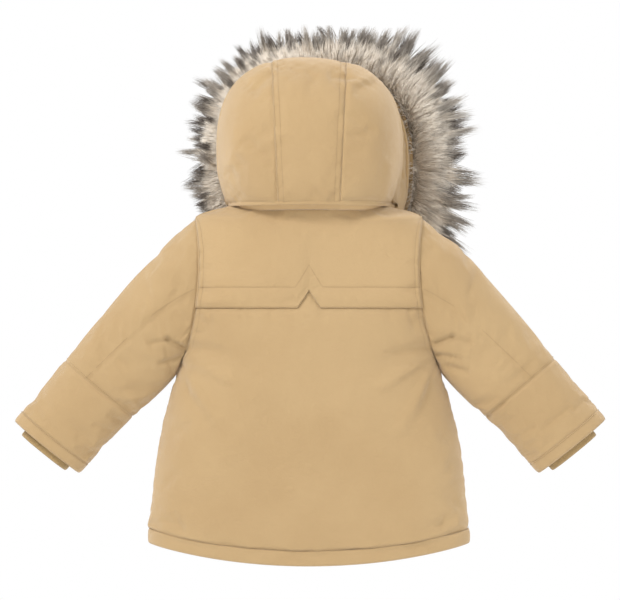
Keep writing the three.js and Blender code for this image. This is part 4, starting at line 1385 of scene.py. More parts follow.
def hood_strip(turn, line):
    """Directions round the hood from back to front, on a line whose place across depends on its height."""
    across = np.zeros(np.broadcast(turn, line(0.0)).shape)
    for _ in range(8):
        scale = bowl(across, HOOD_ROUNDNESS)
        back = power(np.cos(turn), 2 / HOOD_ROUNDNESS) * scale
        up = power(np.sin(turn), 2 / HOOD_ROUNDNESS) * scale
        y = HOOD_MID_DEPTH + back * np.where(back > 0, HOOD_BACK_DEPTH, HOOD_FRONT_DEPTH)
        forward = hood_forward(y)
        z = HOOD_LEVEL + up * HOOD_HALF_HEIGHT - CROWN_DROP * forward
        across = np.clip((line(z) - HOOD_LEAN * forward) / HOOD_HALF_WIDTH, -0.98, 0.98)
    return np.stack([across, back, up], -1), y, z


def solved(low, high, test, line):
    """The turn at which a test of (y, z) changes from true to false along a strip."""
    low, high = np.full_like(line(0.0), low), np.full_like(line(0.0), high)
    for _ in range(30):
        middle = (low + high) / 2
        _, y, z = hood_strip(middle, line)
        ahead = test(y, z)
        low, high = np.where(ahead, middle, low), np.where(ahead, high, middle)
    return (low + high) / 2


def strip_ends(line):
    back = solved(-math.pi / 2, 0.3, lambda y, z: z < HOOD_EDGE_LEVEL, line)
    front = solved(math.pi / 2, math.pi, lambda y, z: y > RIM_DEPTH + 1, line)
    return back, front


def hood_panel(name, u, v, replaced, lift, dips, wall=SHELL, material=None):
    obj = HOOD.piece(name, u, v, material or CLOTH, lift, dips=dips)
    thicken(obj, wall, (0, HOOD_MID_DEPTH, HOOD_LEVEL))
    shell(obj, 0.4, *replaced)
    bend_with_hood(obj)
    return obj


def seam_pucker(distance, along, seed):
    """Small gathers beside a long seam of the hood."""
    return wavy(seed, along / 7, along / 17, octaves=2) * bump_at(distance, 7) * ease(distance / 3)


HOOD_RUN, HOOD_SIDE_RUN = 430, 170  # about how far the hood's cloth runs back to front, and down a side


def make_hood():
    share = np.linspace(-1, 1, 47)[None]
    line = lambda z: share * (hood_seam(z) + 0 * share)
    back, front = strip_ends(line)
    rows = spaced(HOOD_RUN, 3.3, [3, HOOD_RUN - 3])[:, None]
    direction, _, _ = hood_strip(lerp(front, back, rows), line)
    u, v = hood_uv(direction)
    near = (1 - np.abs(share)) * 52
    groove = -0.4 * bump_at(near - 9, 1.8)
    lift = groove + 1.3 * seam_pucker(near, rows * HOOD_RUN, 81)
    hood_panel("hood_middle_cloth", u, v, ["hood_middle_panel", "hood_base"], lift, (1.2, 1.2, 0.6, 0.8))
    for side, sign in (("left", 1), ("right", -1)):
        make_hood_side(side, sign)
        for inset in (2.0, 9.5):
            seam = lambda z: sign * (hood_seam(z) - inset) * np.ones(160)
            back, front = strip_ends(seam)
            turns = lerp(front, back, np.linspace(0.005, 0.995, 160))
            u, v = hood_uv(hood_strip(turns, seam)[0])
            SEWING.sew("hood", HOOD, u, v, -0.1)
    rim_and_hem_stitches()
    stitches = SEWING.make("hood", "hood_stitches")
    bend_with_hood(stitches)
    make_hood_lining()


def rim_share(x, sign):
    """Where on the rim's arch, from the left throat, its crown passes a distance from the middle."""
    shares = np.linspace(0.0 if sign > 0 else 1.0, 0.5, 400)
    return np.interp(-x, -sign * rim_points(shares, 0)[:, 0], shares)


RIM_SHARE = abs((RIM_DEPTH - HOOD_MID_DEPTH) / HOOD_FRONT_DEPTH)
RIM_SCALE = bowl(RIM_SHARE, HOOD_ROUNDNESS)
RIM_LEVEL = HOOD_LEVEL - CROWN_DROP
RIM_DROP = (RIM_LEVEL - HOOD_THROAT_LEVEL) / (HOOD_HALF_HEIGHT * RIM_SCALE)
RIM_LOW = math.asin(RIM_DROP ** (HOOD_ROUNDNESS / 2))


def rim_points(share, grow, y=RIM_DEPTH):
    """Points of the face opening's arch, from the left throat over the crown to the right throat."""
    turn = lerp(-RIM_LOW, math.pi + RIM_LOW, np.asarray(share, float))
    x = (HOOD_HALF_WIDTH * RIM_SCALE + grow) * power(np.cos(turn), 2 / HOOD_ROUNDNESS) + HOOD_LEAN
    z = (HOOD_HALF_HEIGHT * RIM_SCALE + grow) * power(np.sin(turn), 2 / HOOD_ROUNDNESS) + RIM_LEVEL
    return np.stack(np.broadcast_arrays(x, np.asarray(y, float), z), -1)


def direction_of(points):
    """The direction from the hood's middle whose hood point this is."""
    y = points[..., 1]
    forward = hood_forward(y)
    x = (points[..., 0] - HOOD_LEAN * forward) / HOOD_HALF_WIDTH
    z = (points[..., 2] - HOOD_LEVEL + CROWN_DROP * forward) / HOOD_HALF_HEIGHT
    return np.stack([x, (y - HOOD_MID_DEPTH) / hood_depth(y), z], -1)


def neck_edge(y, sign):
    """Points of the hood's lower edge on one side."""
    z = hood_edge(y)
    forward = hood_forward(y)
    up = np.abs(z - HOOD_LEVEL + CROWN_DROP * forward) / HOOD_HALF_HEIGHT
    back = np.abs(y - HOOD_MID_DEPTH) / hood_depth(y)
    left = np.maximum(0, 1 - up**HOOD_ROUNDNESS - back**HOOD_ROUNDNESS) ** (1 / HOOD_ROUNDNESS)
    droop = 1.5 * ease((84 - y) / 16)
    return np.stack([sign * left * HOOD_HALF_WIDTH + HOOD_LEAN * forward, y, z - droop], -1)


def make_hood_side(side, sign):
    """A side panel, between its long seam and the edge that runs down the face and back along the neck."""
    rows = 150
    seam = lambda z: sign * hood_seam(z) * np.ones(rows)
    back, front = strip_ends(seam)
    steps = np.linspace(0, 1, rows)
    inner, _, _ = hood_strip(lerp(front, back, steps), seam)
    crown = rim_share(abs(hood_points(inner[0], 0)[0]), sign)
    face_rows = 88
    throat = 0.0 if sign > 0 else 1.0
    face = rim_points(np.linspace(crown, throat, face_rows), 0, RIM_DEPTH + 1)
    end = hood_points(inner[-1], 0)
    low_y = np.linspace(RIM_DEPTH + 1, end[1], rows - face_rows + 1)[1:]
    outer = direction_of(np.concatenate([face, neck_edge(low_y, sign)]))
    outer[0], outer[-1] = inner[0], inner[-1]
    across = spaced(HOOD_SIDE_RUN, 3.2, [3, HOOD_SIDE_RUN - 3])
    inner, outer = unit(inner), unit(outer)
    direction = lerp(inner[:, None], outer[:, None], across[None, :, None])
    u, v = hood_uv(direction)
    near = across[None] * HOOD_SIDE_RUN * np.sin(np.clip(steps, 0.02, 0.98) * math.pi)[:, None] ** 0.5
    lift = seam_pucker(near, steps[:, None] * HOOD_RUN, 83 + sign)
    replaced = [f"hood_{side}_panel"] + (["hood_wadding"] if sign > 0 else [])
    hood_panel(f"hood_{side}_cloth", u, v, replaced, lift, (1.2, 0.8, 0, 0))


def rim_and_hem_stitches():
    """Two rows of stitches round the face edge, and one above the hood's lower edge."""
    for depth in (4, 22):
        u, v = hood_uv(direction_of(rim_points(np.linspace(0.02, 0.98, 260), 1.5, RIM_DEPTH + depth)))
        SEWING.sew("hood", HOOD, u, v, 0.1)
    for sign in (1, -1):
        y = np.linspace(RIM_DEPTH + 6, 70, 120)
        edge = neck_edge(y, sign) + np.array([0, 0, 6])
        u, v = hood_uv(direction_of(edge))
        SEWING.sew("hood", HOOD, u, v, 0.1)


def make_hood_lining():
    """The hood's lining: the same shape, inside the wadding, with a seam up its middle."""
    share = np.linspace(-1, 1, 90)[None]
    turn_share = np.linspace(0, 1, 100)[:, None]
    rim = rim_points(1 - (share + 1) / 2, 0, RIM_DEPTH + 24)
    edge_y = lambda c: lerp(RIM_DEPTH + 24, 78, (1 - np.abs(c)) ** 0.6)
    sides = np.where(share < 0, -1, 1)
    low = neck_edge(edge_y(share), 1)
    other_side = 2 * HOOD_LEAN * hood_forward(low[..., 1]) - low[..., 0]
    low[..., 0] = np.where(sides > 0, low[..., 0], other_side)
    start, end = unit(direction_of(rim)), unit(direction_of(low))
    over = np.array([0, 1.0, 0.25]) * np.sin(turn_share * math.pi)[..., None] * 0.9
    direction = unit(lerp(start, end, turn_share[..., None]) + over)
    points = hood_points(direction, 12 + 8 * ease(-2.5 * direction[..., 0]))
    obj = piece("hood_lining_cloth", points.reshape(-1, 3), grid_faces(100, 90), LINING)
    faces_out(obj, (0, HOOD_MID_DEPTH, HOOD_LEVEL))
    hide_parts("hood_lining")
    bend_with_hood(obj)


def make_face_band():
    """The band of outer cloth inside the face opening."""
    far, low = round_box(FACE_BAND / 2, 3.2).T
    depth = RIM_DEPTH + FACE_BAND / 2 + far
    rings = [rim_points(share, -5.2 - low, depth) for share in np.linspace(0.0, 1.0, 120)]
    obj = swept("hood_face_band_cloth", rings, CLOTH)
    shell(obj, 0.5, "hood_face_band")
    bend_with_hood(obj)


# ---- The ruff: long pile on a tape, which comes off the hood's edge ----
RUFF_RADIUS, RUFF_HALF_DEPTH, BACKING_FRONT = 31, 25, RIM_DEPTH - 2.4
RUFF_MIDDLE = RUFF_RADIUS - 8.7
PILE_ROOM = 0.03 * np.subtract(*cad_box[::-1]) / MM + 8
PILE_FRONT = (np.array(cad_box[0]) / MM - PILE_ROOM - ZERO)[1]
PILE_TOP = (np.array(cad_box[1]) / MM + PILE_ROOM - ZERO)[2]
RUFF_START, RUFF_END = 0.02, 0.98  # how far along the hood's edge the ruff starts and ends
STRETCHES = {
    "left_low": (RUFF_START, 0.26),
    "left_high": (0.26, 0.5),
    "right_high": (0.5, 0.74),
    "right_low": (0.74, RUFF_END),
}
PILE_STRANDS, LOCKS, LOCK_STRANDS = 10200, 50, 54  # on each stretch
PILE_THICKNESS, LOCK_THICKNESS = 0.00042, 0.00052  # half a strand's, in metres


def make_ruff_ground():
    """The tape that holds the ruff, and the ground that its pile stands on."""
    across, thick = round_box(6.8, 1.0, 6).T
    shares = np.linspace(RUFF_START, RUFF_END, 140)
    rings = [rim_points(share, across - 1.6, RIM_DEPTH - 1.4 + thick) for share in shares]
    backing = swept("ruff_backing_tape", rings, RUFF_TAPE)
    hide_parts("ruff_backing")
    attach(backing, "ruff")
    turn = np.arange(40) / 40 * 2 * np.pi
    rings = []
    for k, s in enumerate(shares):
        size = 0.56 + 0.05 * wavy(91, np.cos(turn) * 2, np.sin(turn) * 2, s * 22)
        close = min(1.0, 0.35 + 4 * bowl(2 * s - 1, 2.0))
        grow = RUFF_MIDDLE - 5 + np.cos(turn) * RUFF_RADIUS * size * close
        deep = BACKING_FRONT - RUFF_HALF_DEPTH + np.sin(turn) * (RUFF_HALF_DEPTH * (size + 0.42) - 1)
        rings.append(rim_points(s, grow, deep))
    # the ground under the pile, in its painted-shade colour
    pelt = swept("ruff_pelt", rings, PELT_PAINTED_SHADE)
    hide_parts("ruff_fur")
    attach(pelt, "ruff")


def ruff_root(share, turn):
    """A point of the ruff's ground, with the way out from the hood and the way out of the ground there."""
    grow = RUFF_MIDDLE - 4 + np.cos(turn) * RUFF_RADIUS * 0.54
    deep = BACKING_FRONT - RUFF_HALF_DEPTH + np.sin(turn) * RUFF_HALF_DEPTH * 0.9
    root = rim_points(share, grow, deep)
    out = unit(rim_points(share, grow + 8, deep) - root)
    facing = out * np.cos(turn)[..., None] + np.array([0, 1, 0]) * np.sin(turn)[..., None]
    return root, out, facing


def fullness(root):
    """The pile is combed out further on the wearer's right."""
    return 1 + 0.34 * ease(-root[:, :1] / 110)


def short_pile(chance, start, end, count, seed):
    """The dense cream pile, combed outwards and gathered into small tufts."""
    turn = chance.uniform(-1, 1, count) * math.pi
    root, out, facing = ruff_root(chance.uniform(start, end, count), turn)
    inner = ease(-1.2 * np.cos(turn))[:, None]
    tufts = count // 20
    picked = chance.choice(count, tufts, replace=False)
    tuft = ((root[:, None] - root[picked][None]) ** 2).sum(-1).argmin(1)
    x, y, z = root.T / 34
    swirl = np.stack([wavy(seed + k, x, z, y) for k in range(3)], -1)
    lean = (0.95 - 0.7 * inner) * out + (0.62 + 0.3 * inner) * facing + 0.25 * swirl
    lean = lean * 0.5 + lean[picked][tuft] * 0.5 + chance.normal(size=(count, 3)) * 0.08
    reach = chance.uniform(20, 29, count) + 6 * chance.uniform(0, 1, tufts)[tuft]
    curl = (root[picked][tuft] - root) * 0.55 + np.array([0, 0, -2.0])
    dark = 0.5 * (chance.uniform(0, 1, tufts) > 0.82)[tuft] * chance.uniform(0.3, 1, count)
    return root, lean, reach * (fullness(root) * (1 - 0.5 * inner))[:, 0], curl, dark


def long_locks(chance, start, end, count, strands):
    """The long guard hair: pointed dark-tipped locks that stand well clear of the pile."""
    share = np.linspace(start, end, count) + chance.uniform(-0.5, 0.5, count) * (end - start) / count
    turn = chance.uniform(-0.28, 0.42, count) * math.pi
    middle, out, facing = ruff_root(np.clip(share, RUFF_START, RUFF_END), turn)
    lock_lean = out + 0.22 * facing + chance.normal(size=(count, 3)) * 0.2
    length = 40 + 24 * chance.uniform(0, 1, count) ** 1.3
    sweep = chance.normal(size=(count, 3)) * 5
    lock = np.repeat(np.arange(count), strands)
    total = count * strands
    shares = np.clip(share[lock] + chance.normal(size=total) * 0.0052, RUFF_START, RUFF_END)
    root, _, _ = ruff_root(shares, turn[lock] + chance.normal(size=total) * 0.2)
    lean = lock_lean[lock] + chance.normal(size=(total, 3)) * 0.06
    reach = length[lock] * chance.uniform(0.74, 1.06, total) * fullness(root)[:, 0]
    curl = (middle[lock] - root) * chance.uniform(0.88, 1.0, total)[:, None] + sweep[lock]
    dark = chance.uniform(0.6, 1.0, count)[lock] * chance.uniform(0.75, 1.0, total)
    return root, lean, reach, curl, dark


def make_pile(name, start, end, seed):
    """The pile of one stretch of the ruff, and the guard hair over it."""
    chance = np.random.default_rng(seed)
    plant("pile_" + name, chance, short_pile(chance, start, end, PILE_STRANDS, seed + 1), PILE_THICKNESS)
    plant("guard_hair_" + name, chance, long_locks(chance, start, end, LOCKS, LOCK_STRANDS), LOCK_THICKNESS)


def plant(name, chance, hair, thickness):
    """Stands the strands on their roots, as one piece."""
    root, lean, reach, curl, dark = hair
    lean = unit(lean)
    # the strands' ends stay within the room that the ruff has in front and above
    tip = root + lean * reach[:, None] + curl
    curl[:, 1] += np.maximum(0, PILE_FRONT - tip[:, 1])
    curl[:, 2] -= np.maximum(0, tip[:, 2] - PILE_TOP)
    tone = chance.uniform(0, 1, len(root))
    obj = seeds(name, root, facing=lean, curl=curl * MM, reach=reach * MM, tone=tone, lock=dark)
    PILE.apply(obj, Pattern=STRAND, Thickness=thickness, Material=FUR)
    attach(obj, "ruff")


def make_strand_pattern():
    """Gives the strand pattern its share of length at each point, for the pile's colour and curl."""
    along = STRAND.data.attributes.new("along", "FLOAT", "POINT")
    along.data.foreach_set("value", np.array([v.co.z for v in STRAND.data.vertices], np.float32))


# ---- The neck, and what closes it to the hood ----
def neck_ring(turn, out=0):
    """Points of the body's neckline, a little outside it."""
    across, away = power(np.sin(turn), 2 / BODY_ROUNDNESS), power(np.cos(turn), 2 / BODY_ROUNDNESS)
    deep = np.where(away > 0, NECK_HALF_DEPTH, FRONT_DEPTH_TOP)
    dip = (1 - across**2) * np.where(away > 0, NECK_DIP_BACK, NECK_DIP_FRONT)
    return np.stack([across * (NECK_HALF_WIDTH + out), away * (deep + out), NECK_LEVEL - dip], -1)


def lower_edge(sign, count):
    """Evenly spaced points of the hood's lower edge on one side, from throat to middle back."""
    low = (HOOD_EDGE_LEVEL - HOOD_LEVEL) / HOOD_HALF_HEIGHT
    back = HOOD_MID_DEPTH + HOOD_BACK_DEPTH * bowl(low, HOOD_ROUNDNESS)
    y = lerp(RIM_DEPTH + 3, back, np.sin(np.linspace(0, math.pi / 2, 2000)))
    return evenly(neck_edge(y, sign), count)


def make_hood_edge():
    """The folded edge of cloth along the hood's lower edge."""
    path = np.concatenate([lower_edge(1, 150), lower_edge(-1, 150)[-2::-1]])
    section = round_box(2.3, 3.4, 3, 18)
    rings = []
    for point in path:
        away = unit(point - (0, HOOD_MID_DEPTH, point[2]))
        rings.append([point + away * (thin - 1.8) + (0, 0, tall + 1.2) for thin, tall in section])
    obj = swept("hood_edge_cloth", rings, CLOTH)
    shell(obj, 0.5)
    bend_with_hood(obj)


def make_hood_foot():
    """The foot of outer cloth that joins the hood's lower edge to the neckline."""
    share = np.linspace(0, 1, 70)
    sides = []
    for sign in (1, -1):
        top = lower_edge(sign, 70)
        top = (top - (0, HOOD_MID_DEPTH, 0)) * (0.97, 0.97, 1) + (0, HOOD_MID_DEPTH, 0)
        under = (top - (0, HOOD_MID_DEPTH, 9)) * (0.8, 0.8, 1) + (0, HOOD_MID_DEPTH, 0)
        neck = neck_ring(sign * lerp(2.6, 0, share), 2) - (0, 0, 1)
        low = lerp(neck, under, ease((share[:, None] - 0.24) / 0.2))
        rows = np.linspace(0, 1, 9)[:, None, None]
        sag = np.stack([0 * share, 0 * share, -5 * np.sin(share * math.pi) ** 2], -1)
        sides.append(lerp(top + (0, 0, 1), low, rows) + sag * np.sin(rows * math.pi))
    points = np.concatenate([sides[0], sides[1][:, -2::-1]], 1)
    obj = piece("hood_foot_cloth", points.reshape(-1, 3), grid_faces(*points.shape[:2]), CLOTH)
    faces_out(obj, (0, HOOD_MID_DEPTH, HOOD_LEVEL))
    thicken(obj, 1.6, (0, HOOD_MID_DEPTH, HOOD_LEVEL))
    shell(obj, 0.2)
    bend_with_hood(obj)


def make_front_neck(side, sign):
    """The corner of outer cloth between a facing's top and the collar."""
    x = np.linspace(7, FRONT_EDGE + 3, 20)
    turn = np.arcsin((x / NECK_HALF_WIDTH) ** (BODY_ROUNDNESS / 2))
    top = neck_ring(math.pi - turn, 1) + (0, 0, 4)
    low = np.stack([x, np.full_like(x, FRONT_ORIGIN[1] + 1.5), np.full_like(x, FRONT_TOP - 4)], -1)
    points = lerp(top, low, np.linspace(0, 1, 8)[:, None, None]) * (sign, 1, 1)
    obj = piece(side + "_neck_corner_cloth", points.reshape(-1, 3), grid_faces(8, 20), CLOTH)
    faces_out(obj)
    thicken(obj, 1.6, (0, 0, -20))
    shell(obj, 0.2)
    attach(obj, "body")


def make_neck_tape():
    """The facing of outer cloth that closes the neck seam, inside the collar's foot."""
    section = round_box(1.0, 21, 5, 16)
    rings = []
    for turn in np.linspace(-2.4, 2.4, 90):
        rings.append([neck_ring(turn, -7.4 - thin) + (0, 0, tall) for thin, tall in section])
    tape = swept("neck_facing_cloth", rings, CLOTH)
    shell(tape, 0.3)
    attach(tape, "body")


COLLAR_WALL, COLLAR_HEIGHT, COLLAR_OPENING = 6, 44, 11  # the opening is half of the gap in front


def make_collar():
    """The padded collar inside the hood, open in front."""
    end = math.asin((COLLAR_OPENING / NECK_HALF_WIDTH) ** (BODY_ROUNDNESS / 2))
    section = round_box(COLLAR_WALL / 2, COLLAR_HEIGHT / 2, 4, 24)
    rings = []
    for turn in np.linspace(-math.pi + end, math.pi - end, 120):
        ring = []
        for off, up in section:
            gather = 0.4 * math.sin(turn * 26) * abs(math.cos(up / COLLAR_HEIGHT * math.pi))
            point = neck_ring(turn, off - COLLAR_WALL / 2 - gather)
            ring.append(point + (0, 0, 1.2 + COLLAR_HEIGHT / 2 + up))
        rings.append(ring)
    collar = swept("collar_cloth", rings, CLOTH)
    shell(collar, 0.6, "collar")
    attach(collar, "body")


def make_hanger_loop():
    low, high = (corner - ZERO for corner in node_box("hanger_loop"))
    level = (low[2] + high[2]) / 2
    section = round_box(0.7, 4, 6, 16)
    rings = []
    for x in [lerp(low[0] + 1, high[0] - 1, k / 24) for k in range(25)]:
        bow = 1 - (x / (high[0] - 1)) ** 2
        y = lerp(high[1] - 1.2, low[1] + 1.2, bow**0.9)
        rings.append([(x, y + thin, level + wide) for thin, wide in section])
    loop = swept("hanger_loop_tape", rings, TAPE)
    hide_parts("hanger_loop")
    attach(loop, "body")


def make_label():
    """The neck label, left blank."""
    low, high = (corner - ZERO for corner in node_box("neck_label"))
    middle, half = (low + high) / 2, (high - low) / 2
    outline = middle[:2] + round_box(half[0], half[1], 8, 24)
    rings = [[(x, y, z) for x, y in outline] for z in np.linspace(low[2], high[2], 12)]
    label = swept("blank_neck_label", rings, RUFF_TAPE)
    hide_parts("neck_label")
    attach(label, "body")


# ---- The front edge ----
FRONT_TOP = NECK_LEVEL - NECK_DIP_FRONT - 0.4
FRONT_SLOPE = math.atan2(FRONT_DEPTH_HEM - FRONT_DEPTH_TOP, NECK_LEVEL - HEM_LEVEL)
FRONT_ORIGIN = np.array([0, -FRONT_DEPTH_TOP - math.tan(FRONT_SLOPE) * (NECK_LEVEL - FRONT_TOP), FRONT_TOP])
ZIP_LENGTH = (FRONT_TOP - HEM_LEVEL + FRONT_DROP) / math.cos(FRONT_SLOPE)
FLAP_TOP, FLAP_BOTTOM = -42, -ZIP_LENGTH + 4


def plane_points(origin, turn, points):
    """Points of a leaning plane, turned about Z, in the coat's millimetres."""
    points = np.asarray(points, float)
    x, y, z = points[..., 0], points[..., 1], points[..., 2]
    lean = -FRONT_SLOPE
    y, z = y * math.cos(lean) - z * math.sin(lean), y * math.sin(lean) + z * math.cos(lean)
    x, y = x * math.cos(turn) - y * math.sin(turn), x * math.sin(turn) + y * math.cos(turn)
    return np.stack([x, y, z], -1) + origin


def on_front(points):
    return plane_points(FRONT_ORIGIN, 0, points)


def front_strip(name, outline, ends, material, body, replaced, count=110, swell=0):
    """A strip of the front edge: an outline in the plane across it, run down between its two ends."""
    seed = len(name)
    rings = []
    for z in np.linspace(*ends, count):
        puff = 1 + swell * wavy(seed, z / 26)
        rings.append([(x, y * puff, z) for x, y in outline])
    obj = swept(name, on_front(np.array(rings)), material)
    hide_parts(replaced)
    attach(obj, body)
    return obj


def make_front_edge():
    for side, sign in (("left", 1), ("right", -1)):
        body = side + "_edge"
        outline = round_box(18.1, 3.9, 5, 28) + np.array([27.4, 3.6])
        outline[:, 0] *= sign
        name = side + "_facing"
        ends = (0, -ZIP_LENGTH)
        facing = front_strip(name + "_cloth", outline, ends, CLOTH, body, name, swell=0.03)
        strip = round_box(5.4, 0.4, 6, 16) + np.array([6.7, -1.1])
        strip[:, 0] *= sign
        name = side + "_zip_tape"
        front_strip(name + "_woven", strip, ends, TAPE, body, name, 60)
        levels = np.arange(-1.5 if sign > 0 else -2.7, -ZIP_LENGTH + 1, -2.4)
        teeth = on_front([(sign * 1.75, -1.15, level) for level in levels])
        facing_way = np.broadcast_to([0, -1.0, 0], teeth.shape)
        run = np.broadcast_to([float(sign), 0, 0], teeth.shape)
        row = set_out(side + "_zip_teeth", teeth, facing_way, run, TOOTH, (0.00135, 0.00065, 0.0013), BRASS)
        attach(row, body)
        line = np.linspace(-4, -ZIP_LENGTH + 4, 150)
        path = on_front(np.stack([np.full(150, sign * 12.2), np.full(150, -0.35), line], -1))
        SEWING.lay(body, path, (0, -1.0, 0))
        stitches = SEWING.make(body, side + "_edge_stitches")
        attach(stitches, body)


def flap_middle(x):
    """How far in front of the facings the storm flap's middle layer lies."""
    bridge = ease((24 - x) / 12) * ease((x + 14.5) / 8)
    rest = lerp(-5.3, -3.0, ease((x + 10) / 24))
    return lerp(rest, -11.5, bridge)


def make_storm_flap():
    half = 32
    xs = np.linspace(half - 1.2, -half + 1.2, 46)
    front = [(x, flap_middle(x) - 2.0) for x in xs]
    behind = [(x, flap_middle(x) + 1.9) for x in xs[::-1]]
    left_end = [(half - 0.2, flap_middle(half) + y) for y in (1.0, 0.0, -1.2)]
    right_end = [(-half + 0.2, flap_middle(-half) + y) for y in (-1.2, 0.0, 1.0)]
    outline = np.array([*left_end, *front, *right_end, *behind])
    ends = (FLAP_TOP, FLAP_BOTTOM)
    flap = front_strip("storm_flap_cloth", outline, ends, CLOTH, "flap", "storm_flap", 140)
    levels = [lerp(FLAP_TOP - 24, FLAP_BOTTOM + 60, k / 3) for k in range(4)]
    down = np.linspace(FLAP_TOP - 4, FLAP_BOTTOM + 4, 160)
    for x in (-28.5, 28.0):
        path = np.stack([np.full(160, x), np.full(160, flap_middle(x) - 2.05), down], -1)
        SEWING.lay("flap", on_front(path), (0, -1.0, 0))
    stitches = SEWING.make("flap", "storm_flap_stitches")
    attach(stitches, "flap")
    face = flap_middle(-20.0) - 2.3
    caps = snaps("storm_flap_snaps", on_front([(-20.0, face, z) for z in levels]), (0, -1.0, 0), 0.001)
    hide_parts(*[f"storm_flap_cap_{k}" for k in range(1, 5)])
    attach(caps, "flap")
    for k in range(1, 5):
        dress(f"storm_flap_stud_{k}", BRASS)


def snaps(name, points, facing, size):
    facing = np.broadcast_to(np.asarray(facing, float), points.shape)
    run = np.broadcast_to([1.0, 0, 0], points.shape)
    row = set_out(name, points, facing, run, SNAP, (size, size, size), BRASS)
    return row


def dress(node, material):
    """Gives a carried-over solid its finish."""
    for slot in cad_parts[node].material_slots:
        slot.material = material


# ---- The pockets ----
POCKET_WIDTH, POCKET_HEIGHT, POCKET_FLAP = 96, 125, 55
POCKET_TURN = 0.13467  # how far round the body each pocket faces, in radians
STUD_STAND, STUD_DROP = 15.1, 27.0  # the stud, in front of the pocket's plane and below its top
POCKET_STITCH_FRONT, FLAP_FRONT, FLAP_STITCH_FRONT = -14.4, -18.1, -19.75
CAP_FRONT = -19.8


def joined(corners, count):
    """A line through corners, with count points on each stretch."""
    steps = np.linspace(0, 1, count)
    return np.array([lerp(np.array(a), np.array(b), t) for a, b in zip(corners, corners[1:]) for t in steps])


def make_pockets():
    for side, sign in (("left", 1), ("right", -1)):
        low, high = node_box(side + "_pocket_stud")
        centre = (low + high) / 2 - ZERO
        turn = sign * POCKET_TURN
        origin = centre - plane_points(0, turn, np.array([0, -STUD_STAND, -STUD_DROP]))
        place = lambda points: plane_points(origin, turn, points)
        away = place(np.array([0, -1.0, 0])) - place(np.array([0, 0.0, 0]))
        make_pocket(side, place, away)
        make_pocket_flap(side, place, away)
        dress(side + "_pocket_stud", BRASS)


def make_pocket(side, place, away):
    half, height = POCKET_WIDTH / 2, POCKET_HEIGHT
    across = np.linspace(-1, 1, 50)
    down = np.linspace(0, 1, 60)
    u, v = np.meshgrid(across, down)
    stand = bowl(u, 9) * bowl(v**1.2, 9)
    y = -13.9 * stand - 0.9 * wavy(131 if side == "left" else 132, u * 1.5, v * 1.5) * stand + 0.2
    corner = 1 - 0.05 * np.clip(v - 0.9, 0, 1) * 10 * np.abs(u) ** 6
    grid = place(np.stack([u * half * corner, y, -v * height], -1))
    x, z = u * half, v * height
    uv = np.stack([x, z], -1).reshape(-1, 2)
    pocket = piece(side + "_pocket_cloth", grid.reshape(-1, 3), grid_faces(60, 50), CLOTH, uv)
    thicken(pocket, 2.2, tuple(place(np.array([0, 30.0, -60.0]))))
    shell(pocket, 0.3, side + "_pocket")
    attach(pocket, "body")
    for inset in (4.0, 9.0):
        edge, bottom = half - inset, -height + inset + 5
        corners = (-edge, -4.0), (-edge, bottom), (edge, bottom), (edge, -4.0)
        path = [(x, POCKET_STITCH_FRONT, z) for x, z in corners]
        SEWING.lay(side + "_pocket", place(joined(path, 20)), away)
    stitches = SEWING.make(side + "_pocket", side + "_pocket_stitches")
    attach(stitches, "body")


def make_pocket_flap(side, place, away):
    body = side + "_pocket_cover"
    half, top, bottom = POCKET_WIDTH / 2 + 4, 14, 14 - POCKET_FLAP
    rows = 60
    rings = []
    for z in np.linspace(top, bottom, rows):
        end = bowl((z - (top + bottom) / 2) / (POCKET_FLAP / 2 + 0.4), 12)
        width = half - 1.5 + 1.5 * end - 7 * ease((bottom + 9 - z) / 9) ** 2
        thick = max(0.35, end) * 1.6
        ring = []
        for x, y in round_box(width, thick, 7, 40):
            ring.append((x, FLAP_FRONT + y * (1 + 0.1 * math.sin(x / 9 + z / 13)), z))
        rings.append(ring)
    flap = swept(side + "_pocket_flap_cloth", place(np.array(rings)), CLOTH)
    shell(flap, 0.4, side + "_pocket_flap")
    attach(flap, body)
    inset = 4.0
    path = [(-half + inset, top - 3), (-half + inset, bottom + 12), (-half + inset + 6, bottom + inset)]
    path += [(half - inset - 6, bottom + inset), (half - inset, bottom + 12), (half - inset, top - 3)]
    points = place(np.array([(x, FLAP_STITCH_FRONT, z) for x, z in joined(path, 16)]))
    SEWING.lay(body, points, away)
    stitches = SEWING.make(body, side + "_pocket_flap_stitches")
    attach(stitches, body)
    cap = snaps(side + "_pocket_snap", place(np.array([(0, CAP_FRONT, -STUD_DROP)])), away, 0.001)
    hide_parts(side + "_pocket_cap")
    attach(cap, body)


# ---- Floor and light ----
FLOOR_LEVEL, FLOOR_RADIUS = -0.95, 2.4  # metres
BACK_LIGHT, FRONT_LIGHT, FILL_LIGHT = 88, 70, 14  # watts


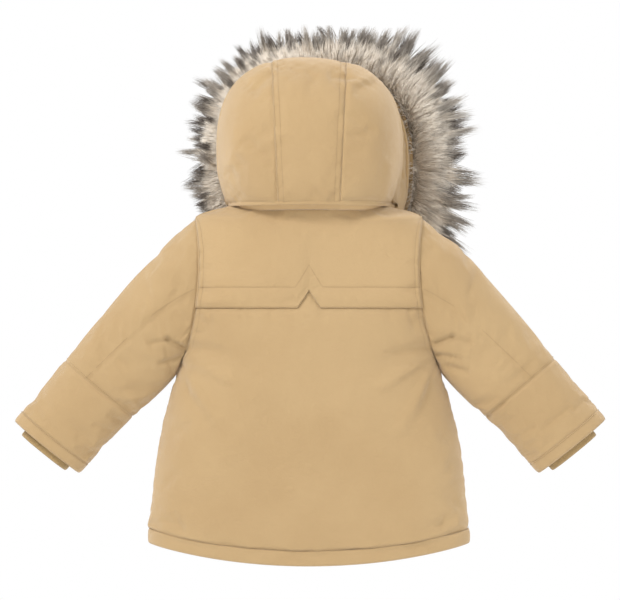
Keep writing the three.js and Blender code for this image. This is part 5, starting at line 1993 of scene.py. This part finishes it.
def area_light(name, place, aim, size, power_watts, colour=(1, 1, 1)):
    data = bpy.data.lights.new(name, "AREA")
    data.shape, data.size, data.energy, data.color = "DISK", size, power_watts, colour
    light = in_scene(name, data)
    light.location = place
    way = mathutils.Vector(aim) - mathutils.Vector(place)
    light.rotation_euler = way.to_track_quat("-Z", "Y").to_euler()


def make_studio():
    bm = bmesh.new()
    bmesh.ops.create_circle(bm, cap_ends=True, segments=96, radius=FLOOR_RADIUS)
    mesh = built(bm, "floor")
    floor = in_scene("floor", mesh)
    floor.location = (0, 0, FLOOR_LEVEL)
    look = Look("pale_floor", roughness=0.7)
    look.shader.inputs["Base Color"].default_value = (0.86, 0.86, 0.85, 1)
    mesh.materials.append(look.material)
    world = bpy.data.worlds.new("studio")
    world.use_nodes = True
    world.node_tree.nodes["Background"].inputs["Color"].default_value = (1, 1, 1, 1)
    world.node_tree.nodes["Background"].inputs["Strength"].default_value = 1.0
    bpy.context.scene.world = world
    bpy.context.scene.view_settings.view_transform = "Standard"
    middle = (0, 0, -0.15)
    area_light("key", (1.9, 1.9, 2.1), middle, 1.1, BACK_LIGHT)
    area_light("fill", (-2.3, 1.7, 0.3), middle, 1.4, FILL_LIGHT)
    area_light("front_key", (-1.9, -1.9, 2.1), middle, 1.1, FRONT_LIGHT)
    area_light("front_fill", (2.3, -1.7, 0.3), middle, 1.4, FILL_LIGHT)


def main():
    make_studio()
    make_strand_pattern()
    make_back()
    make_fronts()
    make_hem()
    make_body_lining()
    stitches = SEWING.make("body", "body_stitches")
    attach(stitches, "body")
    for side in ("left", "right"):
        make_sleeve(side)
    make_hood()
    make_face_band()
    make_ruff_ground()
    for number, (name, (start, end)) in enumerate(STRETCHES.items()):
        make_pile(name, start, end, 200 + 10 * number)
    make_collar()
    make_neck_tape()
    make_hood_edge()
    make_hood_foot()
    for side, sign in (("left", 1), ("right", -1)):
        make_front_neck(side, sign)
    make_hanger_loop()
    make_label()
    make_front_edge()
    make_storm_flap()
    make_pockets()
    for node in ("zip_slider", "zip_pull"):
        dress(node, BRASS)


main()
